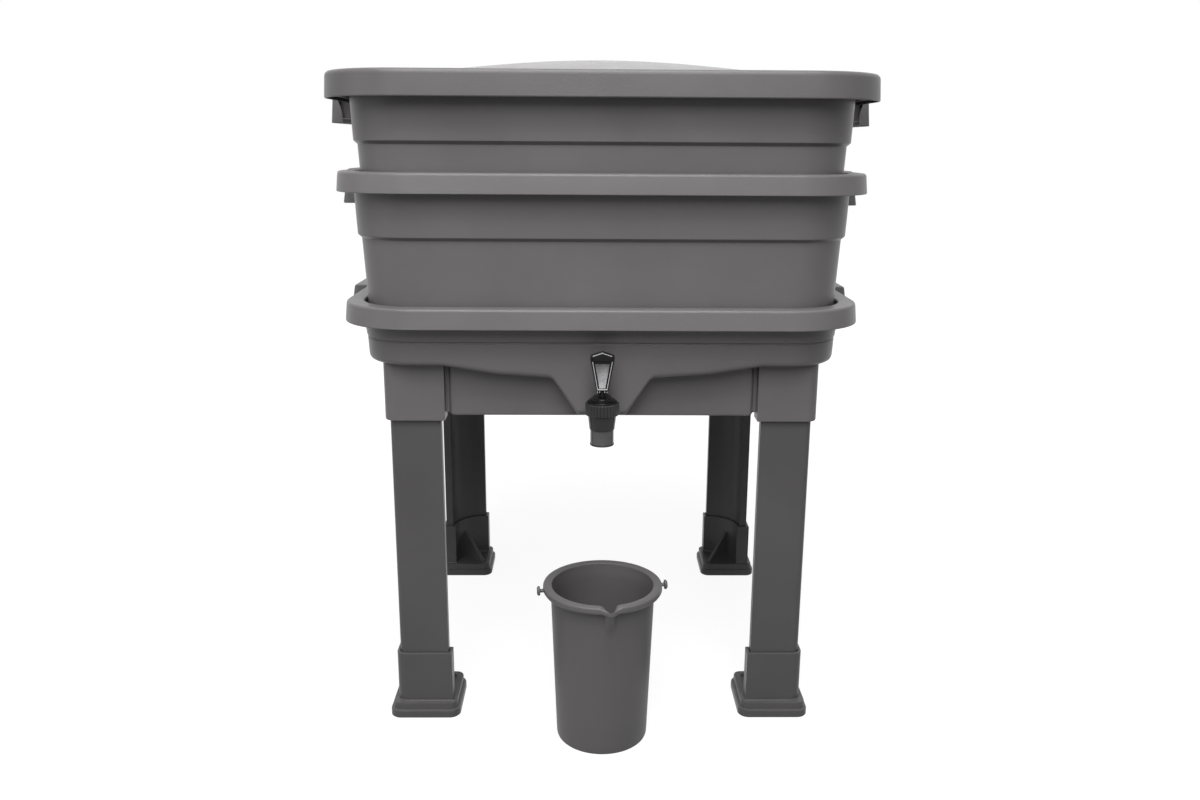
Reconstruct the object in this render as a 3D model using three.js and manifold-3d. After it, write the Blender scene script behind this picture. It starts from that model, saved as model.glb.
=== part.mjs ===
// A wormery: a domed lid on two stacked worm trays, a collector base with a tap, four legs and a bucket.
// Millimetres, +Z up, the tap facing -Y. The stack stands over x = 0, y = 0 while it is being made.
import * as THREE from 'three';
import { mergeVertices } from 'three/addons/utils/BufferGeometryUtils.js';
import Module from 'manifold-3d';

const wasm = await Module();
wasm.setup();

// Driving dimensions shared by the whole object
const wall = 3;
const touchGap = 0.3;
const overrun = 4;
const cornerSteps = 5;
const roundSteps = 24;
const smallRoundSteps = 12;

// Feet
const footFloor = 4;
const plateMargin = 12;
const plateLowerHeight = 9;
const plateUpperHeight = 8.5;
const plateLedge = 3;
const plateChamfer = 1.5;
const plateCorner = 12;
const footTop = 76;
const footWall = 3.4;
const gussetThickness = 5;
const gussetReach = 45;
const gussetDrop = 17;

// Legs
const legSetIn = 45;
const legWidth = 55;
const legArm = 10;
const legCorner = 7;
const legWall = 2.5;
const legLength = 406.4;
const legClearance = 0.4;

// Collector base
const baseSetIn = 2;
const baseRimHeight = 21;
const baseRimOverhang = 15.7;
const baseHeight = 63;
const baseStepHeight = 25;
const baseStepDepth = 0.6;
const bandUpperDraft = 4.2;
const bandLowerDraft = 1.2;
const bandRoll = 7;
const bandEdgeChamfer = 2.5;
const sleeveWall = 4.6;
const sleeveDepth = 63;
const sumpDepth = 58;
const sumpGroove = 4;
const bossTopHalf = 52;
const bossBottomHalf = 25;
const bossDip = 12.6;
const bossBottomRise = 6.2;
const restRibReach = 13;
const restRibThickness = 4;
const restRibSpacing = 110;

// Trays
const trayHalf = 273;
const trayRimHeight = 20.5;
const trayRimOverhang = 15.5;
const trayHeight = 154;
const trayStepFromRim = 67.5;
const trayStepHeight = 3.5;
const trayStepDepth = 4;
const trayUpperDraft = 2.2;
const trayLowerDraft = 4.6;
const trayFloorRound = 3;
const trayNest = 60;
const baseNest = 21;
const rimCorner = 80;
const rimEdge = 2;
const rimFlare = 1.7;
const drainHole = 10;
const drainMargin = 66;
const drainCount = 9;

// Hand grips on the sides of both trays and the base
const gripReach = 18;
const gripFlare = 6;
const gripHalfWidth = 82;
const gripDrop = 1;
const gripDepth = 39.7;

// Lid
const lidOverlap = 7;
const lidWall = 2;
const lidSkirt = 23.8;
const lidEdgeRound = 7;
const lidFlare = 1.5;
const lidCrown = 26;
const lidMargin = 48;
const lidSideSteps = 4;

// The lid's covers, one over each hand grip of the tray below
const coverTopGap = 5;
const coverBottomGap = 2.6;
const coverEndGap = 14;
const coverDrop = 5.5;
const earWidth = 13.4;
const earStraight = 4.2;
const earRoundWidth = 9.5;
const earRoundHeight = 23;
const earTopGap = 4;

// Tap
const shankRadius = 6;
const shankHoleClearance = 0.3;
const shankLength = 36;
const shankAboveBoss = 12.3;
const tapReach = 28;
const flangeRadius = 13.8;
const flangeThickness = 3;
const washerRadius = 12.5;
const washerThickness = 2;
const nutFlats = 17;
const nutThickness = 8;
const spoutRadius = 12.3;
const spoutBore = 9.5;
const spoutLength = 17.4;
const coneRadius = 12.8;
const coneTopRadius = 14.4;
const coneLength = 14;
const barrelRadius = 13.2;
const barrelHeight = 14;
const barrelBore = 8;
const seatBore = 5.5;
const bonnetRadius = 17.2;
const bonnetHeight = 17.5;
const bonnetBand = 12;
const bonnetDrop = 3;
const bonnetTopRadius = 9;
const knurlCount = 24;
const knurlDepth = 0.7;
const bonnetClearance = 0.3;
const stemRadius = 2.6;
const stemClearance = 0.3;
const seatCupRadius = 7.2;
const seatCupHeight = 6;
const leverTopHalf = 12.3;
const leverFootHalf = 4.6;
const leverFootHeight = 5.2;
const leverNeckHalf = 6;
const leverHeight = 45.7;
const leverPeak = 4.2;
const leverThickness = 7;
const leverGap = 2;
const leverWindowInset = 3.2;
const leverWindowDepth = 3;
const leverPinRadius = 1.4;
const leverPinHalfLength = 5.2;
const leverPinAboveBonnet = 5.5;

// Bucket
const bucketHeight = 177.3;
const bucketTopRadius = 55.8;
const bucketRimReach = 8.3;
const bucketBaseRadius = 49.9;
const bucketFootRound = 6;
const bucketWall = 2;
const bucketRimHeight = 9;
const bucketSetBack = 15.9;
const bucketAside = 2;
const bucketYawDegrees = 7;
const spoutLipHalf = 11;
const spoutLipReach = 2.5;
const spoutLipRoot = 9;
const spoutLipHeight = 28;
const spoutNotchDepth = 6.5;
const knobNeckRadius = 1.8;
const knobNeckLength = 3.6;
const knobHeadRadius = 5;
const knobHeadLength = 3;
const knobDrop = 6;

// Levels and places worked out from the sizes above
const baseHalf = trayHalf - baseSetIn;
const lidHalf = trayHalf + lidOverlap;
const legHalf = baseHalf - legSetIn;
const legInner = legHalf - legWidth;
const sumpHalf = legHalf;
const drainPitch = 2 * (trayHalf - drainMargin) / drainCount;
const plateTop = plateLowerHeight + plateUpperHeight;
const legBottom = footFloor + touchGap;
const legTop = legBottom + legLength;
const soffit = legTop + touchGap;
const baseTop = soffit + baseHeight;
const sumpBottom = soffit - sumpDepth;
const sleeveBottom = soffit - sleeveDepth;
const baseRestLevel = baseTop - baseNest;
const lowerTrayFloor = baseRestLevel;
const lowerTrayTop = lowerTrayFloor + trayHeight;
const upperTrayTop = lowerTrayTop - trayNest + trayHeight;
const lidSeat = upperTrayTop + touchGap;
const lidPlate = lidSeat + lidWall;
const coverTop = trayHalf + gripReach + coverTopGap;
const coverFoot = trayHalf + gripReach + gripFlare + coverBottomGap;
const coverBottom = upperTrayTop - gripDepth - coverDrop;
const coverHalf = gripHalfWidth + coverEndGap + lidWall;
const bossFace = baseHalf - baseRimOverhang - bandUpperDraft - baseStepDepth - bandLowerDraft / 2;
const shankHeight = sumpBottom + bossBottomRise + shankAboveBoss;
const tapAxis = -(bossFace + tapReach);
const bonnetBottom = shankHeight - bonnetDrop;
const bonnetTop = bonnetBottom + bonnetHeight;
const leverPinHeight = bonnetTop + leverPinAboveBonnet;
const bucketPlace = -tapAxis - bucketSetBack;
const bucketRimRadius = bucketTopRadius + bucketRimReach;

function solid(geometry) {
  const bare = geometry.index ? geometry.toNonIndexed() : geometry;
  bare.deleteAttribute('normal');
  bare.deleteAttribute('uv');
  const merged = mergeVertices(bare);
  const mesh = new wasm.Mesh({
    numProp: 3,
    vertProperties: new Float32Array(merged.attributes.position.array),
    triVerts: new Uint32Array(merged.index.array),
  });
  return new wasm.Manifold(mesh);
}

function toGeometry(body) {
  const mesh = body.getMesh();
  const geometry = new THREE.BufferGeometry();
  geometry.setAttribute('position', new THREE.BufferAttribute(mesh.vertProperties, 3));
  geometry.setIndex(new THREE.BufferAttribute(mesh.triVerts, 1));
  return geometry;
}

// A closed solid through stacked rings of points, each ring counterclockwise seen from above.
function loft(rings) {
  const count = rings[0].length;
  const points = rings.flat();
  const triangles = [];
  for (let ring = 0; ring + 1 < rings.length; ring += 1) {
    for (let i = 0; i < count; i += 1) {
      const j = (i + 1) % count;
      const low = ring * count;
      const high = low + count;
      triangles.push(low + i, low + j, high + j, low + i, high + j, high + i);
    }
  }
  const last = (rings.length - 1) * count;
  const centre = (ring) => ring
    .reduce((sum, point) => sum.map((value, axis) => value + point[axis]), [0, 0, 0])
    .map((value) => value / ring.length);
  points.push(centre(rings[0]), centre(rings[rings.length - 1]));
  for (let i = 0; i < count; i += 1) {
    const j = (i + 1) % count;
    triangles.push(points.length - 2, j, i, points.length - 1, last + i, last + j);
  }
  const geometry = new THREE.BufferGeometry();
  geometry.setAttribute('position', new THREE.Float32BufferAttribute(points.flat(), 3));
  geometry.setIndex(triangles);
  return solid(geometry);
}

// One ring of a square with round corners; height is a number or a function of x and y.
function squareRing(half, radius, height, sideSteps = 1) {
  const signs = [[1, 1], [-1, 1], [-1, -1], [1, -1]];
  const points = [];
  signs.forEach(([signX, signY], corner) => {
    for (let step = 0; step <= cornerSteps; step += 1) {
      const angle = (corner + step / cornerSteps) * Math.PI / 2;
      const x = signX * (half - radius) + radius * Math.cos(angle);
      const y = signY * (half - radius) + radius * Math.sin(angle);
      points.push([x, y]);
    }
    const [turnedX, turnedY] = [-signY, signX];
    for (let step = 1; step < sideSteps; step += 1) {
      const along = (half - radius) * (1 - 2 * step / sideSteps);
      points.push([
        signX === signY ? along * signX : half * turnedX,
        signX === signY ? half * signY : along * signY,
      ]);
    }
  });
  return points.map(([x, y]) => [x, y, typeof height === 'function' ? height(x, y) : height]);
}

// Rounded square rings whose corners stay concentric with a rim of the given half width.
function squareLoft(rimHalf, stations) {
  return loft(stations.map(([height, half]) => squareRing(half, rimCorner - (rimHalf - half), height)));
}

function box(low, high) {
  const size = high.map((value, axis) => value - low[axis]);
  const geometry = new THREE.BoxGeometry(...size);
  geometry.translate(...high.map((value, axis) => (value + low[axis]) / 2));
  return solid(geometry);
}

// A prism of a flat outline given in x and y, from one height to another.
function prism(outline, bottom, top) {
  const shape = new THREE.Shape(outline.map(([x, y]) => new THREE.Vector2(x, y)));
  const geometry = new THREE.ExtrudeGeometry(shape, { depth: top - bottom, bevelEnabled: false });
  geometry.translate(0, 0, bottom);
  return solid(geometry);
}

// A prism of an outline given in x and z, reaching from one y to a larger one.
function uprightPrism(outline, front, back) {
  const shape = new THREE.Shape(outline.map(([x, z]) => new THREE.Vector2(x, z)));
  const geometry = new THREE.ExtrudeGeometry(shape, { depth: back - front, bevelEnabled: false });
  geometry.rotateX(Math.PI / 2);
  geometry.translate(0, back, 0);
  return solid(geometry);
}

// A turned solid about the Z axis from pairs of radius and height, written from the bottom up.
function turned(profile, steps = roundSteps) {
  const points = profile.map(([radius, height]) => new THREE.Vector2(radius, height));
  const geometry = new THREE.LatheGeometry(points, steps);
  geometry.rotateX(Math.PI / 2);
  return solid(geometry);
}

function roundBar(radius, bottom, top, steps = smallRoundSteps) {
  return turned([[0, bottom], [radius, bottom], [radius, top], [0, top]], steps);
}

// A bar along +Y from one y to a larger one.
function barAlongY(radius, front, back, height, steps = smallRoundSteps) {
  return roundBar(radius, front, back, steps)
    .rotate([-90, 0, 0])
    .translate([0, 0, height]);
}

function union(bodies) {
  return bodies.reduce((whole, body) => whole.add(body));
}

// Section of a leg in the +X +Y corner: two flat outer faces and a hollow round inner side.
function legOutline(grow) {
  const outer = legHalf + grow;
  const inner = legInner - grow;
  const corner = legCorner + grow;
  const hollow = legWidth - legArm - grow;
  const start = Math.max(0, Math.asin(-grow / hollow));
  const points = [[outer, inner]];
  for (let step = 0; step <= cornerSteps; step += 1) {
    const angle = step / cornerSteps * Math.PI / 2;
    points.push([outer - corner + corner * Math.cos(angle), outer - corner + corner * Math.sin(angle)]);
  }
  points.push([inner, outer]);
  if (grow > 0) points.push([inner, legInner + hollow]);
  for (let step = 0; step <= cornerSteps; step += 1) {
    const angle = Math.PI / 2 - start - step / cornerSteps * (Math.PI / 2 - 2 * start);
    points.push([legInner + hollow * Math.cos(angle), legInner + hollow * Math.sin(angle)]);
  }
  if (grow > 0) points.push([legInner + hollow, inner]);
  return points;
}

function leg() {
  const outside = prism(legOutline(0), legBottom, legTop);
  const inside = prism(legOutline(-legWall), legBottom - overrun, legTop + overrun);
  return outside.subtract(inside);
}

function footPlate() {
  const half = legWidth / 2 + plateMargin;
  const middle = legHalf - legWidth / 2;
  const upper = half - plateLedge;
  const ring = (size, height) => squareRing(size, plateCorner - (half - size), height)
    .map(([x, y, z]) => [x + middle, y + middle, z]);
  return loft([
    ring(half, 0),
    ring(half, plateLowerHeight - plateChamfer),
    ring(half - plateChamfer, plateLowerHeight),
    ring(upper, plateLowerHeight + plateChamfer / 2),
    ring(upper, plateTop - plateChamfer),
    ring(upper - plateChamfer, plateTop),
  ]);
}

// The triangular rib in the hollow of the foot, pointing at the middle of the object.
function footGusset() {
  const distance = (legInner + (legWidth - legArm) / Math.SQRT2) * Math.SQRT2;
  const outline = [
    [distance + gussetDrop, plateTop - overrun],
    [distance + gussetDrop, footTop - gussetDrop],
    [distance, footTop - gussetDrop],
    [distance - gussetReach, plateTop],
    [distance - gussetReach, plateTop - overrun],
  ];
  return uprightPrism(outline.reverse(), -gussetThickness / 2, gussetThickness / 2).rotate([0, 0, 45]);
}

function foot() {
  const socket = prism(legOutline(legClearance + footWall), footFloor, footTop);
  const hole = prism(legOutline(legClearance), footFloor, footTop + overrun);
  return footPlate().add(socket).add(footGusset()).subtract(hole);
}

// Ribs inside a shell that the tray above rests on, along all four walls. The outline is in x and z.
function restRibs(outline) {
  const ribs = [];
  for (let side = 0; side < 4; side += 1) {
    for (const along of [-restRibSpacing, 0, restRibSpacing]) {
      const rib = uprightPrism(outline, along - restRibThickness / 2, along + restRibThickness / 2);
      ribs.push(rib.rotate([0, 0, side * 90]));
    }
  }
  return union(ribs);
}

// Section of a hand grip in x and z: a skin that hangs from the rim and flares outwards.
function gripOutline(rimHalf, top, inward, inset) {
  const reach = rimHalf + gripReach - inset;
  const bottom = top - gripDepth - (inset ? overrun : 0);
  return [
    [inward, bottom],
    [reach + gripFlare, bottom],
    [reach, top - gripDrop - inset],
    [inward, top - gripDrop - inset],
  ];
}

function mirroredPair(body) {
  return body.add(body.rotate([0, 0, 180]));
}

function grips(rimHalf, wallHalf, top) {
  const block = uprightPrism(gripOutline(rimHalf, top, wallHalf, 0), -gripHalfWidth, gripHalfWidth);
  return mirroredPair(block);
}

function gripHollows(rimHalf, wallHalf, top) {
  const inner = gripHalfWidth - wall;
  const hollow = uprightPrism(gripOutline(rimHalf, top, wallHalf, wall), -inner, inner);
  return mirroredPair(hollow);
}

// The hollow under a turned-down rim, between its skirt and the wall.
function rimGroove(rimHalf, wallHalf, top, rimHeight) {
  const outer = squareLoft(rimHalf, [
    [top - rimHeight - overrun, rimHalf + rimFlare - wall],
    [top - wall, rimHalf - wall],
  ]);
  const core = squareLoft(rimHalf, [
    [top - rimHeight - 2 * overrun, wallHalf],
    [top, wallHalf],
  ]);
  return outer.subtract(core);
}

function drainHoles(bottom) {
  const holes = [];
  const middle = (drainCount - 1) / 2;
  for (let row = 0; row < drainCount; row += 1) {
    for (let column = 0; column < drainCount; column += 1) {
      const x = (column - middle) * drainPitch;
      const y = (row - middle) * drainPitch;
      holes.push(box(
        [x - drainHole / 2, y - drainHole / 2, bottom - overrun],
        [x + drainHole / 2, y + drainHole / 2, bottom + wall + overrun],
      ));
    }
  }
  return wasm.Manifold.compose(holes);
}

// A worm tray: rim, stepped and drafted wall, open floor grid, rest ribs and two hand grips.
function tray(floor) {
  const top = floor + trayHeight;
  const wallTop = trayHalf - trayRimOverhang;
  const stepTop = wallTop - trayUpperDraft;
  const stepLow = stepTop - trayStepDepth;
  const floorHalf = stepLow - trayLowerDraft;
  const stepLevel = top - trayStepFromRim;
  const stations = (inset, lift) => [
    [floor + lift, floorHalf - trayFloorRound - inset],
    [floor + lift + trayFloorRound, floorHalf - inset],
    [stepLevel + lift, stepLow - inset],
    [stepLevel + trayStepHeight + lift, stepTop - inset],
  ];
  const outside = squareLoft(trayHalf, [
    ...stations(0, 0),
    [top - trayRimHeight, wallTop],
    [top - trayRimHeight, trayHalf + rimFlare],
    [top - rimEdge, trayHalf - rimEdge / 4],
    [top, trayHalf - rimEdge],
  ]);
  const inside = squareLoft(trayHalf, [
    ...stations(wall, wall),
    [top, wallTop - wall],
    [top + overrun, wallTop - wall],
  ]);
  const ribFoot = floorHalf - wall - restRibReach + trayLowerDraft;
  const ribTop = top - trayNest - touchGap;
  const ribs = restRibs([
    [ribFoot, floor + wall / 2], [floorHalf - wall - trayFloorRound, floor + wall / 2],
    [floorHalf - wall / 2, floor + wall + trayFloorRound], [stepLow - wall / 2, stepLevel],
    [stepLow - wall / 2, ribTop], [ribFoot, ribTop],
  ]);
  return outside
    .add(grips(trayHalf, wallTop - wall / 2, top))
    .subtract(rimGroove(trayHalf, wallTop, top, trayRimHeight))
    .subtract(gripHollows(trayHalf, wallTop, top))
    .subtract(inside)
    .add(ribs)
    .subtract(drainHoles(floor));
}

// Plan of the sump: a square whose corners make room for the leg sleeves.
function sumpOutline(half, notch) {
  return [
    [half, -notch], [half, notch], [notch, notch], [notch, half],
    [-notch, half], [-notch, notch], [-half, notch], [-half, -notch],
    [-notch, -notch], [-notch, -half], [notch, -half], [notch, -notch],
  ];
}

// The drop of the front band with the boss that carries the tap, in x and z.
function bossOutline(inset) {
  const dip = soffit - bossDip + inset;
  const bottom = sumpBottom + bossBottomRise + inset;
  const shoulder = legInner - sleeveWall - 2 * inset;
  return [
    [-shoulder, soffit + wall], [-bossTopHalf + inset, dip],
    [-bossBottomHalf + inset, bottom], [bossBottomHalf - inset, bottom],
    [bossTopHalf - inset, dip], [shoulder, soffit + wall],
  ];
}

function collectorBase() {
  const bandTop = baseHalf - baseRimOverhang;
  const stepTop = bandTop - bandUpperDraft;
  const stepLow = stepTop - baseStepDepth;
  const bandLow = stepLow - bandLowerDraft;
  const stepLevel = soffit + baseStepHeight;
  const notch = legInner - legClearance - sleeveWall - sumpGroove;
  const outside = squareLoft(baseHalf, [
    [soffit, bandLow - bandRoll],
    [soffit + bandEdgeChamfer, bandLow - bandEdgeChamfer],
    [soffit + bandRoll, bandLow],
    [stepLevel, stepLow],
    [stepLevel + baseStepDepth, stepTop],
    [baseTop - baseRimHeight, bandTop],
    [baseTop - baseRimHeight, baseHalf + rimFlare],
    [baseTop - rimEdge, baseHalf - rimEdge / 4],
    [baseTop, baseHalf - rimEdge],
  ]);
  const inside = squareLoft(baseHalf, [
    [soffit + wall, bandLow - bandRoll - wall],
    [soffit + wall + bandEdgeChamfer, bandLow - bandEdgeChamfer - wall],
    [soffit + wall + bandRoll, bandLow - wall],
    [stepLevel, stepLow - wall],
    [baseTop - baseRimHeight, bandTop - wall],
    [baseTop + overrun, bandTop - wall],
  ]);
  const sump = prism(sumpOutline(sumpHalf, notch), sumpBottom, soffit + wall / 2);
  const sumpInside = prism(sumpOutline(sumpHalf - wall, notch - wall), sumpBottom + wall, soffit + 2 * wall);
  const boss = uprightPrism(bossOutline(0), -bossFace, -sumpHalf + wall / 2);
  const bossInside = uprightPrism(bossOutline(wall), -bossFace + wall, -sumpHalf + 2 * wall);
  const sleeve = prism(legOutline(legClearance + sleeveWall), sleeveBottom, soffit + wall / 2);
  const sleeveHole = prism(legOutline(legClearance), sleeveBottom - overrun, soffit);
  const aroundCorners = (body) => union([0, 90, 180, 270].map((turn) => body.rotate([0, 0, turn])));
  const shankHole = barAlongY(
    shankRadius + shankHoleClearance, -bossFace - overrun, -bossFace + wall + overrun, shankHeight, roundSteps,
  );
  const ribFoot = bandLow - wall - restRibReach;
  const ribTop = baseRestLevel - touchGap;
  const ribs = restRibs([
    [ribFoot, soffit + wall / 2], [bandLow - bandRoll - wall, soffit + wall / 2],
    [bandLow - wall / 2, soffit + wall + bandRoll], [stepLow - wall / 2, ribTop], [ribFoot, ribTop],
  ]);
  return outside
    .add(sump)
    .add(boss)
    .add(aroundCorners(sleeve))
    .add(grips(baseHalf, bandTop - wall / 2, baseTop))
    .subtract(rimGroove(baseHalf, bandTop, baseTop, baseRimHeight))
    .subtract(gripHollows(baseHalf, bandTop, baseTop))
    .subtract(inside)
    .subtract(sumpInside)
    .subtract(bossInside)
    .subtract(aroundCorners(sleeveHole))
    .subtract(shankHole)
    .add(ribs);
}

// Section of a lid cover in x and z: a skin that hangs outside the grip of the tray below.
function coverBlock() {
  const inner = lidHalf - lidFlare - lidEdgeRound - lidWall;
  const outer = coverTop + lidWall;
  const outline = [
    [inner, coverBottom], [coverFoot + lidWall, coverBottom], [outer, lidPlate - lidEdgeRound],
    [outer - lidEdgeRound / 3, lidPlate - lidEdgeRound / 3], [outer - lidEdgeRound, lidPlate],
    [inner, lidPlate],
  ];
  return mirroredPair(uprightPrism(outline, -coverHalf, coverHalf));
}

function coverHollow() {
  const inner = lidHalf - lidFlare - lidEdgeRound - lidWall - overrun;
  const outline = [
    [inner, coverBottom - overrun], [coverFoot, coverBottom - overrun],
    [coverTop, lidPlate - lidEdgeRound], [coverTop - lidWall, lidSeat], [inner, lidSeat],
  ];
  return mirroredPair(uprightPrism(outline, lidWall - coverHalf, coverHalf - lidWall));
}

// What is open in a cover's end: all but an ear with a round shoulder along the outer skin.
function coverEndOpening() {
  const inner = lidHalf - lidFlare - lidEdgeRound - lidWall - overrun;
  const earInner = coverFoot + lidWall - earWidth;
  const shoulder = coverBottom + earStraight;
  const points = [[inner, coverBottom - overrun], [earInner, coverBottom - overrun]];
  for (let step = 0; step <= cornerSteps; step += 1) {
    const angle = step / cornerSteps * Math.PI / 2;
    points.push([
      earInner + earRoundWidth * (1 - Math.cos(angle)),
      shoulder + earRoundHeight * Math.sin(angle),
    ]);
  }
  const top = shoulder + earRoundHeight + earTopGap;
  points.push([earInner + earRoundWidth, top], [inner, top]);
  return mirroredPair(uprightPrism(points, -coverHalf - overrun, coverHalf + overrun));
}

// The domed lid: a skirt round the top rim, with a cover over each hand grip of the tray below.
function lid() {
  const crownHalf = lidHalf - lidMargin;
  const crown = (base) => (x, y) => {
    const shareX = Math.max(0, 1 - (x / crownHalf) ** 2);
    const shareY = Math.max(0, 1 - (y / crownHalf) ** 2);
    return base + lidCrown * shareX * shareY;
  };
  const crownShares = [0.86, 0.7, 0.52, 0.34, 0.16];
  const crownRings = (base) => crownShares.map((share) => {
    const roundShare = 1 - share * (1 - (rimCorner - lidMargin) / crownHalf);
    return squareRing(crownHalf * share, crownHalf * share * roundShare, crown(base), lidSideSteps);
  });
  const ring = (half, height) => squareRing(half, rimCorner - (lidHalf - half), height, lidSideSteps);
  const skirtBottom = lidSeat - lidSkirt;
  const outside = loft([
    ring(lidHalf, skirtBottom),
    ring(lidHalf - lidFlare, lidPlate - lidEdgeRound),
    ring(lidHalf - lidFlare - lidEdgeRound / 3, lidPlate - lidEdgeRound / 3),
    ring(lidHalf - lidFlare - lidEdgeRound, lidPlate),
    ring(crownHalf, lidPlate),
    ...crownRings(lidPlate),
  ]);
  const inside = loft([
    ring(lidHalf - lidWall, skirtBottom - overrun),
    ring(lidHalf - lidFlare - lidWall, lidSeat - lidWall),
    ring(lidHalf - lidFlare - 2 * lidWall, lidSeat),
    ring(crownHalf - lidWall, lidSeat),
    ...crownRings(lidSeat),
  ]);
  return outside
    .add(coverBlock())
    .subtract(inside)
    .subtract(coverHollow())
    .subtract(coverEndOpening());
}

function tapBody() {
  const coneTop = bonnetBottom - touchGap;
  const coneBottom = coneTop - coneLength;
  const seatLevel = coneTop - seatCupHeight - touchGap;
  const barrelTop = coneTop + barrelHeight;
  const outside = turned([
    [0, coneBottom - spoutLength], [spoutRadius, coneBottom - spoutLength], [spoutRadius, coneBottom],
    [coneRadius, coneBottom], [coneTopRadius, coneTop], [barrelRadius, coneTop],
    [barrelRadius, barrelTop], [0, barrelTop],
  ]).translate([0, tapAxis, 0]);
  const waterway = turned([
    [0, coneBottom - spoutLength - overrun], [spoutBore, coneBottom - spoutLength - overrun],
    [spoutBore, coneBottom], [seatBore, coneBottom + wall], [seatBore, seatLevel],
    [barrelBore, seatLevel], [barrelBore, barrelTop + overrun], [0, barrelTop + overrun],
  ]).translate([0, tapAxis, 0]);
  const flangeFront = -bossFace - washerThickness - 2 * touchGap - flangeThickness;
  const shankEnd = -bossFace - washerThickness - 2 * touchGap + shankLength;
  const shank = barAlongY(shankRadius, tapAxis, shankEnd, shankHeight, roundSteps);
  const flange = barAlongY(flangeRadius, flangeFront, flangeFront + flangeThickness, shankHeight, roundSteps);
  const bore = barAlongY(shankRadius - wall, tapAxis, shankEnd + overrun, shankHeight);
  return outside.add(shank).add(flange).subtract(waterway).subtract(bore);
}

function tapBonnet() {
  const outline = [];
  for (let knurl = 0; knurl < knurlCount; knurl += 1) {
    for (const [turn, depth] of [[0, 0], [0.5, 0], [0.5, knurlDepth], [1, knurlDepth]]) {
      const angle = (knurl + turn) / knurlCount * 2 * Math.PI;
      const radius = bonnetRadius - depth;
      outline.push([radius * Math.cos(angle), radius * Math.sin(angle)]);
    }
  }
  const bandTop = bonnetBottom + bonnetBand;
  const capLevel = bonnetTop - wall;
  const dome = turned([
    [0, bandTop - overrun], [bonnetRadius - wall, bandTop - overrun],
    [bonnetRadius - wall / 3, bandTop], [bonnetTopRadius + wall, capLevel + wall / 2],
    [bonnetTopRadius, bonnetTop], [0, bonnetTop],
  ]);
  const bore = roundBar(barrelRadius + bonnetClearance, bonnetBottom - overrun, capLevel, roundSteps);
  const stemHole = roundBar(stemRadius + stemClearance, capLevel - overrun, bonnetTop + overrun);
  const neckHalf = shankRadius + bonnetClearance;
  const neckSlot = box(
    [-neckHalf, 0, bonnetBottom - overrun],
    [neckHalf, bonnetRadius + overrun, shankHeight + neckHalf],
  );
  return prism(outline, bonnetBottom, bandTop)
    .add(dome)
    .subtract(bore)
    .subtract(stemHole)
    .subtract(neckSlot)
    .translate([0, tapAxis, 0]);
}

// The plunger: its cup closes the waterway and its eye holds the lever pin.
function tapStem() {
  const seat = bonnetBottom - touchGap;
  const rod = roundBar(stemRadius, seat + touchGap, leverPinHeight + stemRadius);
  const eye = barAlongY(leverPinRadius + touchGap / 3, -stemRadius - overrun, stemRadius + overrun, 0)
    .rotate([0, 0, 90])
    .translate([0, 0, leverPinHeight]);
  return rod.subtract(eye).translate([0, tapAxis, 0]);
}

function tapSeatCup() {
  const top = bonnetBottom - touchGap;
  return turned([
    [0, top - seatCupHeight], [seatCupRadius - wall / 2, top - seatCupHeight],
    [seatCupRadius, top - seatCupHeight / 2], [seatCupRadius, top], [0, top],
  ]).translate([0, tapAxis, 0]);
}

function tapLever() {
  const bottom = bonnetTop + leverGap;
  const top = bottom + leverHeight;
  const shoulder = top - leverPeak;
  const neck = bottom + leverFootHeight;
  const outline = [
    [-leverFootHalf, bottom], [leverFootHalf, bottom], [leverFootHalf, neck], [leverNeckHalf, neck],
    [leverTopHalf, shoulder - leverPeak], [leverTopHalf, shoulder], [0, top],
    [-leverTopHalf, shoulder], [-leverTopHalf, shoulder - leverPeak],
    [-leverNeckHalf, neck], [-leverFootHalf, neck],
  ];
  const paddle = uprightPrism(outline, -leverThickness / 2, leverThickness / 2);
  const windowBottom = neck + leverWindowInset;
  const windowTop = shoulder - 2 * leverWindowInset;
  const narrow = leverNeckHalf - leverWindowInset / 2;
  const wide = leverTopHalf - 1.5 * leverWindowInset;
  const recess = uprightPrism(
    [[-narrow, windowBottom], [narrow, windowBottom], [wide, windowTop], [-wide, windowTop]],
    -leverThickness / 2 - overrun, -leverThickness / 2 + leverWindowDepth,
  );
  const slotHalf = stemRadius + stemClearance;
  const slot = box(
    [-slotHalf, -leverThickness, bottom - overrun],
    [slotHalf, leverThickness, leverPinHeight + stemRadius * Math.SQRT2 + touchGap],
  );
  const pinHole = barAlongY(leverPinRadius + touchGap / 3, -leverTopHalf, leverTopHalf, 0)
    .rotate([0, 0, 90])
    .translate([0, 0, leverPinHeight]);
  return paddle.subtract(recess).subtract(slot).subtract(pinHole).translate([0, tapAxis, 0]);
}

function tapLeverPin() {
  return barAlongY(leverPinRadius, -leverPinHalfLength, leverPinHalfLength, 0)
    .rotate([0, 0, 90])
    .translate([0, tapAxis, leverPinHeight]);
}

// A flat ring on the shank, from one y to a larger one.
function shankRing(radius, front, back) {
  const hole = shankRadius + shankHoleClearance;
  return barAlongY(radius, front, back, shankHeight, roundSteps)
    .subtract(barAlongY(hole, front - overrun, back + overrun, shankHeight, roundSteps));
}

function tapFrontWasher() {
  const back = -bossFace - touchGap;
  return shankRing(washerRadius, back - washerThickness, back);
}

function tapRearWasher() {
  const front = -bossFace + wall + touchGap;
  return shankRing(nutFlats / 2, front, front + washerThickness);
}

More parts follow.
